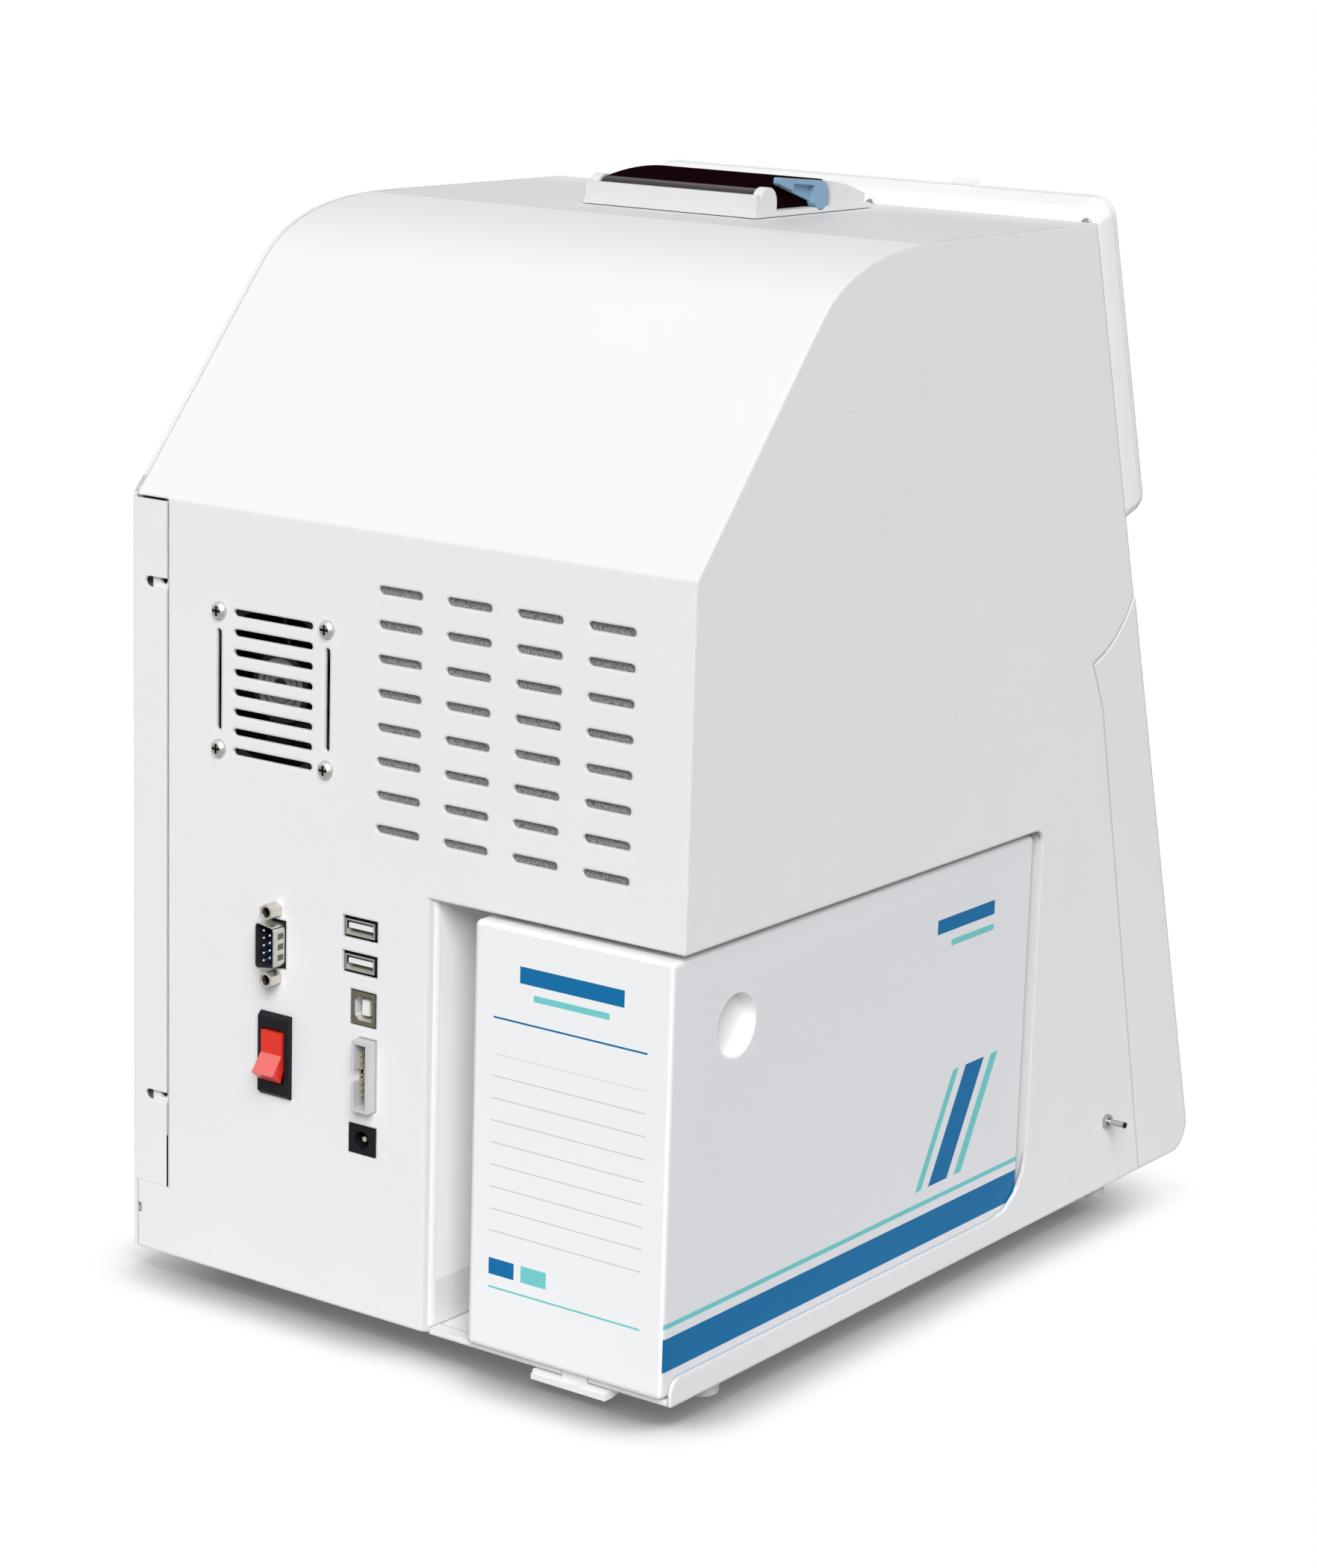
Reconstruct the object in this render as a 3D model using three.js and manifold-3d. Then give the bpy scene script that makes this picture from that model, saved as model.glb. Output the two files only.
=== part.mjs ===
// Electrolyte analyzer: a folded sheet-metal bench unit. A reagent pack slides into an open bay at the
// rear corner, a panel printer sits in the flat top, a touch screen lies on the slanted front, and the
// electrodes, pump and sample probe are behind a cover that tilts down below the screen.
//
// Millimetres. The pieces are drawn as seen from behind: x to the right, y into the object from its
// rear face, z up from the underside of its floor plate. The last lines turn the whole half round, so
// that the screen faces -Y, and stand it on its feet with the middle of its box over the origin.
import * as THREE from "three";
import { mergeVertices } from "three/addons/utils/BufferGeometryUtils.js";
import Module from "manifold-3d";

const wasm = await Module();
wasm.setup();

// Driving sizes of the whole
const width = 247;
const height = 385;
const baseDepth = 366.5;
const topDepth = 248.4;
const rearHeight = 284;
const slopeRun = 86;
const sheet = 1.5;
const gap = 0.3;
const overrun = 6;

const halfWidth = width / 2;
const frontRunShare = (baseDepth - topDepth) / height;
const frontLean = Math.atan(frontRunShare);

function frontDepthAt(z) {
  return baseDepth - z * frontRunShare;
}

// Shapes. An outline corner is [a, b] or [a, b, radius].
function arc(a, b, radius, from, to, steps) {
  const points = [];
  for (let step = 0; step <= steps; step++) {
    const angle = THREE.MathUtils.degToRad(from + ((to - from) * step) / steps);
    points.push([a + radius * Math.cos(angle), b + radius * Math.sin(angle)]);
  }
  return points;
}

function outline(corners, steps = 4) {
  const points = [];
  corners.forEach(([a, b, radius = 0], i) => {
    const corner = new THREE.Vector2(a, b);
    if (radius === 0) {
      points.push(corner);
      return;
    }
    const [beforeA, beforeB] = corners[(i + corners.length - 1) % corners.length];
    const [afterA, afterB] = corners[(i + 1) % corners.length];
    const back = new THREE.Vector2(beforeA, beforeB).sub(corner).normalize();
    const ahead = new THREE.Vector2(afterA, afterB).sub(corner).normalize();
    const half = back.angleTo(ahead) / 2;
    const centre = back.clone().add(ahead).setLength(radius / Math.sin(half)).add(corner);
    const start = back.setLength(radius / Math.tan(half)).add(corner);
    const end = ahead.setLength(radius / Math.tan(half)).add(corner);
    const turn = Math.atan2(
      start.clone().sub(centre).cross(end.clone().sub(centre)),
      start.clone().sub(centre).dot(end.clone().sub(centre)),
    );
    for (let step = 0; step <= steps; step++) {
      points.push(start.clone().rotateAround(centre, (turn * step) / steps));
    }
  });
  return new THREE.Shape(points);
}

function rectangle(a, b, wide, tall, radius = 0, steps = 4) {
  const right = a + wide / 2;
  const top = b + tall / 2;
  return outline(
    [
      [a - wide / 2, b - tall / 2, radius],
      [right, b - tall / 2, radius],
      [right, top, radius],
      [a - wide / 2, top, radius],
    ],
    steps,
  );
}

// Corners of an anticlockwise outline, moved so that each edge shifts inwards by inset.
function insetCorners(corners, inset) {
  return corners.map(([a, b], i) => {
    const [beforeA, beforeB] = corners[(i + corners.length - 1) % corners.length];
    const [afterA, afterB] = corners[(i + 1) % corners.length];
    const arriving = new THREE.Vector2(beforeB - b, a - beforeA).normalize();
    const leaving = new THREE.Vector2(b - afterB, afterA - a).normalize();
    const scale = inset / (1 + arriving.dot(leaving));
    return [a + (arriving.x + leaving.x) * scale, b + (arriving.y + leaving.y) * scale];
  });
}

// Solids
function solid(geometry) {
  const bare = geometry.index ? geometry.toNonIndexed() : geometry.clone();
  bare.deleteAttribute("normal");
  bare.deleteAttribute("uv");
  const merged = mergeVertices(bare);
  return new wasm.Manifold(
    new wasm.Mesh({
      numProp: 3,
      vertProperties: merged.attributes.position.array,
      triVerts: Uint32Array.from(merged.index.array),
    }),
  );
}

function joined(first, ...others) {
  return others.reduce((sum, other) => sum.add(other), first);
}

function cut(body, ...cutters) {
  return cutters.reduce((left, cutter) => left.subtract(cutter), body);
}

function extruded(shape, length, bevel = {}) {
  return new THREE.ExtrudeGeometry(shape, { depth: length, bevelEnabled: false, steps: 1, ...bevel });
}

// A shape on (y, z), run along x from one value to another.
function acrossX(shape, from, to) {
  const axes = new THREE.Matrix4().makeBasis(
    new THREE.Vector3(0, 1, 0),
    new THREE.Vector3(0, 0, 1),
    new THREE.Vector3(1, 0, 0),
  );
  return solid(extruded(shape, to - from).applyMatrix4(axes).translate(from, 0, 0));
}

// A shape on (x, z), run along y. A bevel rounds both of its ends.
function alongY(shape, from, to, bevel = 0, bevelSegments = 3) {
  const axes = new THREE.Matrix4().makeBasis(
    new THREE.Vector3(1, 0, 0),
    new THREE.Vector3(0, 0, 1),
    new THREE.Vector3(0, -1, 0),
  );
  const rounding = { bevelEnabled: bevel > 0, bevelThickness: bevel, bevelSize: bevel, bevelSegments };
  const geometry = extruded(shape, to - from - 2 * bevel, rounding);
  return solid(geometry.applyMatrix4(axes).translate(0, to - bevel, 0));
}

// A shape on (x, y), run up along z.
function upZ(shape, from, to) {
  return solid(extruded(shape, to - from).translate(0, 0, from));
}

function box([x0, y0, z0], [x1, y1, z1]) {
  const geometry = new THREE.BoxGeometry(x1 - x0, y1 - y0, z1 - z0);
  return solid(geometry.translate((x0 + x1) / 2, (y0 + y1) / 2, (z0 + z1) / 2));
}

// A round bar from one point to another, or a cone where the end radius differs.
function rod(from, to, radius, sides = 16, endRadius = radius) {
  const start = new THREE.Vector3(...from);
  const run = new THREE.Vector3(...to).sub(start);
  const geometry = new THREE.CylinderGeometry(endRadius, radius, run.length(), sides);
  const turn = new THREE.Quaternion().setFromUnitVectors(
    new THREE.Vector3(0, 1, 0),
    run.clone().normalize(),
  );
  geometry.applyQuaternion(turn);
  geometry.translate(...start.addScaledVector(run, 1 / 2).toArray());
  return solid(geometry);
}

// Finishes
function finish(color, roughness, metalness = 0) {
  return () => new THREE.MeshStandardMaterial({ color, roughness, metalness });
}

const whiteCoat = finish(0xe9e9ea, 0.55);
const whitePlastic = finish(0xefeeec, 0.4);
const blackPlastic = finish(0x17171c, 0.35);
const darkLid = finish(0x1c0a0e, 0.12);
const blueLever = finish(0x86a9c8, 0.3);
const redRocker = finish(0xd63a2c, 0.3);
const packPlastic = finish(0xe6e6e9, 0.45);
const greyFoam = finish(0x8a8a8a, 0.95);
const nickel = finish(0xc2bbab, 0.3, 1);
const steel = finish(0xb9bcc0, 0.32, 1);
const lightPlastic = finish(0xc9cacd, 0.5);
const darkGlass = finish(0x0b0d11, 0.06);
const greenBoard = finish(0x1e5b3c, 0.5);
const rubber = finish(0xd9d9da, 0.8);
const paper = finish(0xf4f3ef, 0.9);
const clearAcrylic = finish(0xd8e4e6, 0.15);
const electrodeAmber = finish(0xd9cfae, 0.25);

const analyzer = new THREE.Group();
const front = new THREE.Group();
const fluidics = new THREE.Group();
analyzer.add(front, fluidics);

function piece(name, material, body, parent = analyzer) {
  const { vertProperties, triVerts } = body.getMesh();
  const geometry = new THREE.BufferGeometry();
  geometry.setAttribute("position", new THREE.BufferAttribute(vertProperties, 3));
  geometry.setIndex(new THREE.BufferAttribute(triVerts, 1));
  geometry.computeVertexNormals();
  const mesh = new THREE.Mesh(geometry, material());
  mesh.name = name;
  parent.add(mesh);
  return mesh;
}

// Front cover seam. Each depth is measured back from the plane of the front face.
const seam = {
  top: 240,
  notchDrop: 22.2,
  notchDepth: 35.5,
  shoulderDrop: 41.4,
  shoulderDepth: 31.7,
  footDepth: 41,
  sag: 5,
};
const notchHeight = seam.top - seam.notchDrop;
const shoulderHeight = seam.top - seam.shoulderDrop;
const seamFoot = baseDepth - seam.footDepth;
const shoulderDepth = frontDepthAt(shoulderHeight) - seam.shoulderDepth;
const seamRunShare = (seamFoot - shoulderDepth) / shoulderHeight;

// Housing side profile, anticlockwise on (y, z)
const slopeBend = 28;
const topBend = 54;
const bendSteps = 8;
const housingCorners = [
  [0, 0],
  [seamFoot, 0],
  [shoulderDepth, shoulderHeight],
  [frontDepthAt(notchHeight) - seam.notchDepth, notchHeight],
  [frontDepthAt(seam.top), seam.top],
  [topDepth, height],
  [slopeRun, height],
  [0, rearHeight],
];

function towards([a, b], [c, d], distance) {
  return new THREE.Vector2(c - a, d - b).setLength(distance).add(new THREE.Vector2(a, b));
}

function curve(start, control, end, steps) {
  const points = new THREE.QuadraticBezierCurve(start, control, end).getPoints(steps);
  return points.map((point) => [point.x, point.y]);
}

function housingOutline(inset) {
  const corners = insetCorners(housingCorners, inset);
  const [rearFoot, frontFoot, shoulder, notch, brow, topFront, topCorner, rearTop] = corners;
  const browBend = new THREE.Vector2(
    (notch[0] + brow[0]) / 2 + seam.sag,
    (notch[1] + brow[1]) / 2 - seam.sag,
  );
  const bend = curve(
    towards(topCorner, topFront, topBend),
    new THREE.Vector2(...topCorner),
    towards(topCorner, rearTop, slopeBend),
    bendSteps,
  );
  const browCurve = curve(new THREE.Vector2(...notch), browBend, new THREE.Vector2(...brow), 4);
  return outline([rearFoot, frontFoot, shoulder, ...browCurve, topFront, ...bend, rearTop]);
}

// Side cover and its flange, which lies in a recess of the rear panel
const sideCover = {
  plate: 1.2,
  foot: 26,
  flangeWidth: 15.8,
  flangeTop: 282.8,
  edgeGap: 1,
  slotHeight: 4,
  slotLength: 10.4,
  upperSlot: 253,
  lowerSlot: 60.5,
  tapRadius: 1.7,
  tapInset: 2.4,
  tapRise: 1.2,
  slitLeft: 4,
  slitWidth: 4,
  slitHeight: 9,
  topSlitLeft: 3,
  topSlitRight: 14,
  footSlitTall: 19,
  notchRise: 13.5,
  notchTall: 3.5,
  notchWide: 1.7,
  frame: 12,
};
const housingLeft = -halfWidth + sideCover.plate + gap;
const recessDepth = sideCover.plate + gap;
const recessRight = -halfWidth + sideCover.flangeWidth + sideCover.edgeGap;
const recessTop = sideCover.flangeTop + sideCover.edgeGap;

// Floor plate
const floor = {
  hem: 2.2,
  hemDepth: 6,
  frontInset: 24.5,
  upstandEdge: 1.2,
  bossRadius: 3,
  bossHeight: 10,
  notchFromSide: 46.6,
  notchWidth: 11.3,
  notchDepth: 3,
};
const floorFront = baseDepth - floor.frontInset;
const floorNotchLeft = halfWidth - floor.notchFromSide;

// Bay for the reagent pack
const bay = {
  width: 105.7,
  depth: 233,
  ceiling: 159,
  bend: 4,
  stripHeight: 9.5,
  stripRound: 5,
  footRadius: 22,
  topRadius: 5,
};
const bayLeft = halfWidth - bay.width;

function bayPlan(grow, right) {
  const centre = bayLeft - bay.bend;
  return outline([
    [centre, -overrun],
    ...arc(centre, bay.bend, bay.bend - grow, -90, 0, 4),
    [bayLeft - grow, bay.depth + grow],
    [right, bay.depth + grow],
    [right, -overrun],
  ]);
}

function baySideOpening() {
  const round = bay.stripRound;
  const shape = outline([
    [-overrun, bay.stripHeight - round],
    ...arc(round, bay.stripHeight - round, round, 180, 90, 3),
    [bay.depth, bay.stripHeight, bay.footRadius],
    [bay.depth, bay.ceiling, bay.topRadius],
    [-overrun, bay.ceiling],
  ]);
  return acrossX(shape, halfWidth - sheet - gap, halfWidth + overrun);
}

// Fan behind its grille, at the upper left of the rear panel
const fan = {
  x: -57.2,
  z: 222,
  size: 60,
  depth: 25,
  bore: 28.5,
  wall: 1.2,
  screwPitch: 50,
  screwHole: 2.2,
  slotLength: 37,
  slotHeight: 2.7,
  slotPitch: 7.18,
  slotCount: 8,
  sideSlotOffset: 25.2,
  sideSlotWidth: 2.4,
  hubRadius: 13,
  hubDepth: 18,
  bladeRadius: 27.5,
  bladeCount: 7,
  bladePitch: 38,
  shaft: 1.5,
  struts: 3,
  strutWidth: 4,
};

// Vent field
const vent = {
  left: -9.5,
  top: 264.1,
  slotLength: 19.6,
  slotHeight: 3.1,
  columnPitch: 29.92,
  rowPitch: 12.03,
  rightMargin: 20,
  rows: 8,
  filterMargin: 6,
  filterDepth: 5,
};
const ventRoom = halfWidth - vent.rightMargin - vent.left - vent.slotLength;
const ventColumns = Math.floor(ventRoom / vent.columnPitch) + 1;
const ventRight = vent.left + (ventColumns - 1) * vent.columnPitch + vent.slotLength;
const ventFoot = vent.top - (vent.rows - 1) * vent.rowPitch;

// Sockets and the switch: cut-outs in the rear panel, centred at x and z
const serial = {
  x: -54.8,
  z: 129.8,
  screwClear: 3.7,
  wide: 9,
  slant: 1.2,
  corner: 2.2,
  wall: 0.6,
  proud: 6.3,
  flangeEnd: 3,
  flangeWide: 12.5,
  flangeThick: 1,
  screwPitch: 25,
  hexAcross: 5.4,
  hexProud: 5.6,
  threadRadius: 1.5,
  tapRadius: 2.1,
  tapTip: 0.5,
  tapDepth: 4,
  pinRadius: 0.4,
  pinPitch: 2.77,
  pinRowPitch: 2.84,
  pinLength: 5,
};
const serialTall = serial.screwPitch - 2 * serial.screwClear;
const serialFlangeTall = serial.screwPitch + 2 * serial.flangeEnd;
const rocker = {
  x: -53.9,
  z: 88.5,
  tall: 31,
  wide: 14.4,
  cutTall: 27.2,
  cutWide: 12.4,
  bodyDepth: 18,
  pivotRadius: 1.2,
  windowTall: 20,
  windowWide: 10.2,
  windowDepth: 8,
  proud: 2.3,
  chamfer: 1.5,
  axisIn: 2,
  valleyOut: 3.2,
  faceWide: 9.6,
  faceLong: 8.3,
  faceLean: 18.3,
  endDepth: 6,
  bladeWide: 4.8,
  bladeThick: 0.8,
  bladeLong: 8,
};
const usbFlat = {
  x: -15.8,
  upper: 142.3,
  lower: 129.5,
  cutWide: 16,
  cutTall: 8,
  wide: 13.2,
  tall: 5.7,
  wall: 0.5,
  tongueTall: 1.9,
  tongueInset: 0.6,
  tongueFloor: 0.9,
};
const usbSquare = {
  x: -14,
  z: 113.5,
  cutWide: 12,
  cutTall: 13,
  wide: 11,
  tall: 12,
  wall: 1.5,
  chamfer: 2,
  tongueWide: 3.2,
  tongueTall: 5.6,
};
const header = {
  x: -11.7,
  z: 89.7,
  tall: 26,
  wide: 7.4,
  wall: 1.2,
  proud: 4.4,
  pocket: 8.5,
  notchTall: 4.5,
  notchDeep: 6.5,
  pinPitch: 2.54,
  pinHalf: 0.32,
  pinDrop: 2.4,
  pinRows: 7,
};
const inlet = {
  x: -13.6,
  z: 65.1,
  cutWide: 12.6,
  cutTall: 11,
  wide: 12,
  tall: 10.4,
  proud: 0.4,
  bore: 3.2,
  pinRadius: 1,
  boreDepth: 9,
};

// Board that carries the backs of the sockets
const ioBoard = {
  thick: 1.6,
  left: -70,
  right: -4,
  foot: 52,
  top: 152,
  armLeft: -40,
  armFoot: 108,
  standoff: 16,
};
const ioBoardFace = sheet + ioBoard.standoff;
const socketBack = ioBoardFace - gap;

// Printer let into the top
const printer = {
  x: -2.15,
  rear: 153.9,
  width: 77,
  depth: 75.7,
  rim: 2,
  rimOut: 0.5,
  wallThick: 2.4,
  wallHeight: 8.2,
  post: 3.8,
  postRadius: 5.4,
  hingeDepth: 8,
  hingeHeight: 5.3,
  barrel: 4.7,
  pinRadius: 1.4,
  pinLength: 2.2,
  lidSide: 0.5,
  lidFront: 49.5,
  lidThick: 2.3,
  lidSkirt: 2,
  lidFrontTop: 11.4,
  lidCrown: 14.2,
  lidCrownDepth: 30,
  lidLip: 7.5,
  slot: 0.9,
  cheekTop: 10.9,
  cheekShoulder: 9.3,
  cheekFoot: 5.7,
  cheekShoulderRun: 9.1,
  cheekRun: 21.4,
  bucketWidth: 70,
  bucketRear: 2.6,
  bucketDepth: 70.4,
  bucketDrop: 42,
  wall: 1.5,
  platen: 4.4,
  platenDepth: 44.4,
  platenHeight: 5,
  platenLength: 59,
  rollRadius: 18.5,
  rollCore: 6.5,
  rollWidth: 57,
  leverThick: 3.2,
  leverRadius: 5.3,
  leverDepth: 42.4,
  leverHeight: 6.3,
  leverReach: 27,
  leverTipRise: 6.2,
  leverTipThick: 2.6,
  leverPocket: 2,
  leverPocketFrom: 4.5,
  leverPocketTo: 18,
  leverPocketFoot: 4,
  leverPocketNear: 3.6,
  leverPocketFar: 5,
  headThick: 3.4,
  headFoot: 0.6,
  headTall: 6.4,
  headWidth: 50,
};
const printerLeft = printer.x - printer.width / 2;
const printerRight = printer.x + printer.width / 2;
const printerFloor = height + gap;
const hinge = {
  y: printer.rear + printer.hingeDepth,
  z: printerFloor + printer.hingeHeight,
};

// Reagent pack
const pack = {
  width: 84,
  sideGap: 2,
  proud: 3,
  length: 233,
  foot: 2.6,
  height: 154,
  corner: 0.6,
  edge: 1.6,
  dentDepth: 6,
  dentRadius: 11.5,
  dentFromRear: 37.5,
  dentHeight: 127,
  portRadius: 2.6,
  portLength: 12,
  portPitch: 14,
  portHeight: 72,
};
const packRight = halfWidth - pack.sideGap;
const packLeft = packRight - pack.width;
const packMiddle = (packLeft + packRight) / 2;
const packFront = pack.length - pack.proud;
const portShares = [-1, 0, 1];

// Drain nipple on the near side
const nipple = { z: 27.9, radius: 1.25, bore: 0.9, reach: 9, hexAcross: 5.2, nut: 1.3, inside: 8 };
const nippleRunShare = 0.6725;
const nippleY = bay.depth + (seamFoot - bay.depth) * nippleRunShare;

function slot(x, z, wide, tall, from, to) {
  const radius = Math.min(wide, tall) / 2 - gap / 10;
  return alongY(rectangle(x, z, wide, tall, radius, 2), from, to);
}

function rearCut(x, z, wide, tall) {
  return box(
    [x - wide / 2, -overrun, z - tall / 2],
    [x + wide / 2, sheet + overrun, z + tall / 2],
  );
}

function fanGrille() {
  const cuts = [];
  for (let i = 0; i < fan.slotCount; i++) {
    const z = fan.z + ((fan.slotCount - 1) / 2 - i) * fan.slotPitch;
    cuts.push(slot(fan.x, z, fan.slotLength, fan.slotHeight, -overrun, sheet + gap / 2));
  }
  for (const side of [-1, 1]) {
    const x = fan.x + side * fan.sideSlotOffset;
    cuts.push(slot(x, fan.z, fan.sideSlotWidth, fan.slotLength, -overrun, sheet + gap / 2));
  }
  for (const [x, z] of fanScrewPlaces()) {
    cuts.push(rod([x, -overrun, z], [x, overrun, z], fan.screwHole, 12));
  }
  return cuts;
}

function fanScrewPlaces() {
  const half = fan.screwPitch / 2;
  return [
    [fan.x - half, fan.z + half],
    [fan.x + half, fan.z + half],
    [fan.x - half, fan.z - half],
    [fan.x + half, fan.z - half],
  ];
}

function ventSlots() {
  const cuts = [];
  for (let column = 0; column < ventColumns; column++) {
    for (let row = 0; row < vent.rows; row++) {
      const x = vent.left + column * vent.columnPitch + vent.slotLength / 2;
      const z = vent.top - row * vent.rowPitch;
      cuts.push(slot(x, z, vent.slotLength, vent.slotHeight, -overrun, sheet + gap / 2));
    }
  }
  return cuts;
}

function ventFilter() {
  const { left, top, slotHeight, filterMargin, filterDepth } = vent;
  const rear = sheet + gap;
  return box(
    [left - filterMargin, rear, ventFoot - slotHeight / 2 - filterMargin],
    [ventRight + filterMargin, rear + filterDepth, top + slotHeight / 2 + filterMargin],
  );
}

function socketCuts() {
  const cuts = [
    rearCut(serial.x, serial.z, serial.wide + 2 * gap, serialTall + 2 * gap),
    rearCut(rocker.x, rocker.z, rocker.cutWide + 2 * gap, rocker.cutTall + 2 * gap),
    rearCut(usbFlat.x, usbFlat.upper, usbFlat.cutWide, usbFlat.cutTall),
    rearCut(usbFlat.x, usbFlat.lower, usbFlat.cutWide, usbFlat.cutTall),
    rearCut(usbSquare.x, usbSquare.z, usbSquare.cutWide, usbSquare.cutTall),
    rearCut(header.x, header.z, header.wide + 2 * gap, header.tall + 2 * gap),
    rearCut(inlet.x, inlet.z, inlet.cutWide, inlet.cutTall),
  ];
  for (const side of [-1, 1]) {
    const z = serial.z + (side * serial.screwPitch) / 2;
    cuts.push(rod([serial.x, -overrun, z], [serial.x, overrun, z], serial.threadRadius + gap, 12));
  }
  return cuts;
}

// What shows through the two slots of the side cover's flange: a slit and a tapped hole
function flangeFixings() {
  const slits = [];
  for (const z of [sideCover.upperSlot, sideCover.lowerSlot]) {
    const left = -halfWidth + sideCover.slitLeft;
    const tap = -halfWidth + sideCover.flangeWidth - sideCover.tapInset;
    const half = sideCover.slitHeight / 2;
    slits.push(
      box([left, 0, z - half], [left + sideCover.slitWidth, overrun, z + half]),
      rod([tap, 0, z + sideCover.tapRise], [tap, overrun, z + sideCover.tapRise], sideCover.tapRadius, 12),
    );
  }
  return slits;
}

// Gaps that show round the flange, and a notch in the edge of the rear panel below it
function flangeGaps() {
  const { topSlitLeft, topSlitRight, footSlitTall, notchRise, notchTall, notchWide } = sideCover;
  return [
    box(
      [-halfWidth + topSlitLeft, 0, sideCover.flangeTop],
      [-halfWidth + topSlitRight, overrun, recessTop],
    ),
    box(
      [recessRight - sideCover.edgeGap, 0, sideCover.foot],
      [recessRight, overrun, sideCover.foot + footSlitTall],
    ),
    box([-halfWidth, -overrun, notchRise], [housingLeft + notchWide, overrun, notchRise + notchTall]),
  ];
}

function portHoles(radius, from, to) {
  return portShares.map((share) => {
    const x = packMiddle + share * pack.portPitch;
    return rod([x, from, pack.portHeight], [x, to, pack.portHeight], radius, 12);
  });
}

function printerCutOut() {
  const rear = printer.rear + printer.bucketRear - gap;
  const half = printer.bucketWidth / 2 + gap;
  return box(
    [printer.x - half, rear, height - sheet - overrun],
    [printer.x + half, rear + printer.bucketDepth + 2 * gap, height + overrun],
  );
}

function housingShell() {
  const outer = acrossX(housingOutline(0), housingLeft, halfWidth);
  const inner = acrossX(housingOutline(sheet), housingLeft + sheet, halfWidth - sheet);
  const bayBlock = upZ(bayPlan(sheet, halfWidth + overrun), -overrun, bay.ceiling + sheet);
  const recessBack = box(
    [-halfWidth, -overrun, sideCover.foot - sideCover.edgeGap - sheet],
    [recessRight + sheet, recessDepth + sheet, recessTop + sheet],
  );
  const hollow = cut(inner, bayBlock, recessBack);
  const bayRoom = upZ(bayPlan(0, halfWidth - sheet), -overrun, bay.ceiling);
  const recess = box(
    [-halfWidth - overrun, -overrun, sideCover.foot],
    [recessRight, recessDepth, recessTop],
  );
  const footCut = box(
    [-halfWidth - overrun, sheet + gap, -overrun],
    [halfWidth - sheet, baseDepth + overrun, sheet + gap],
  );
  const service = acrossX(
    housingOutline(sideCover.frame),
    -halfWidth - overrun,
    housingLeft + sheet + gap,
  );
  const serviceFoot = box(
    [-halfWidth - overrun, sideCover.frame, -overrun],
    [housingLeft + sheet + gap, seamFoot - 2 * sideCover.frame, sideCover.foot + sheet],
  );
  const nippleHole = rod(
    [halfWidth - overrun, nippleY, nipple.z],
    [halfWidth + overrun, nippleY, nipple.z],
    nipple.radius + gap,
    12,
  );
  return cut(
    outer,
    hollow,
    bayRoom,
    recess,
    footCut,
    service,
    serviceFoot,
    baySideOpening(),
    printerCutOut(),
    nippleHole,
    ...portHoles(pack.portRadius + 2 * gap, bay.depth - overrun, bay.depth + overrun),
    ...flangeFixings(),
    ...flangeGaps(),
    ...fanGrille(),
    ...ventSlots(),
    ...socketCuts(),
  );
}

function baseTray() {
  const rear = sheet + gap;
  const flangeInside = halfWidth - frontCover.wall - gap;
  const right = halfWidth - sheet - gap;
  const bayEdge = bayLeft + gap;
  const plate = upZ(
    outline([
      [-halfWidth, rear],
      [bayEdge, rear],
      [bayEdge, 0],
      [right, 0],
      [right, seamFoot - gap],
      [flangeInside, seamFoot - gap],
      [flangeInside, floorFront],
      [-flangeInside, floorFront],
      [-flangeInside, seamFoot - gap],
      [-halfWidth, seamFoot - gap],
    ]),
    0,
    sheet,
  );
  const upstandTop = sideCover.foot - gap;
  const upstand = acrossX(
    outline([
      [rear, 0],
      [seamFoot - gap, 0],
      [seamFoot - gap - upstandTop * seamRunShare, upstandTop],
      [rear, upstandTop],
    ]),
    -halfWidth,
    -halfWidth + floor.upstandEdge,
  );
  const hem = box([bayEdge, 0, 0], [right, floor.hemDepth, floor.hem]);
  const rest = box(
    [bayEdge, bay.depth - 3 * floor.hemDepth, 0],
    [right, bay.depth - 2 * floor.hemDepth, floor.hem],
  );
  const bosses = boardBosses().map(([x, y]) =>
    rod([x, y, sheet / 2], [x, y, floor.bossHeight], floor.bossRadius, 12),
  );
  const notch = box(
    [floorNotchLeft, -overrun, -overrun],
    [floorNotchLeft + floor.notchWidth, floor.notchDepth, overrun],
  );
  return cut(joined(plate, upstand, hem, rest, ...bosses), notch);
}

const feet = { height: 7, radius: 7.4, tipRadius: 7, inset: 11.9, rearInset: 33.7, frontInset: 62 };
const feetFront = baseDepth - feet.frontInset;

function foot(name, x, y) {
  piece(name, rubber, rod([x, y, -gap], [x, y, -feet.height], feet.radius, 20, feet.tipRadius));
}

// Main board on the floor
const mainBoard = {
  sideInset: 11.5,
  bayInset: 9.8,
  rear: 70,
  front: 196,
  thick: 1.6,
  bossInset: 8,
  chipHeight: 3,
  chip: 26,
  capRadius: 6,
  capHeight: 16,
};

const mainBoardLeft = -halfWidth + mainBoard.sideInset;
const mainBoardRight = bayLeft - mainBoard.bayInset;

function boardBosses() {
  const { rear, front: far, bossInset } = mainBoard;
  const left = mainBoardLeft;
  const right = mainBoardRight;
  return [
    [left + bossInset, rear + bossInset],
    [right - bossInset, rear + bossInset],
    [left + bossInset, far - bossInset],
    [right - bossInset, far - bossInset],
  ];
}

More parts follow.
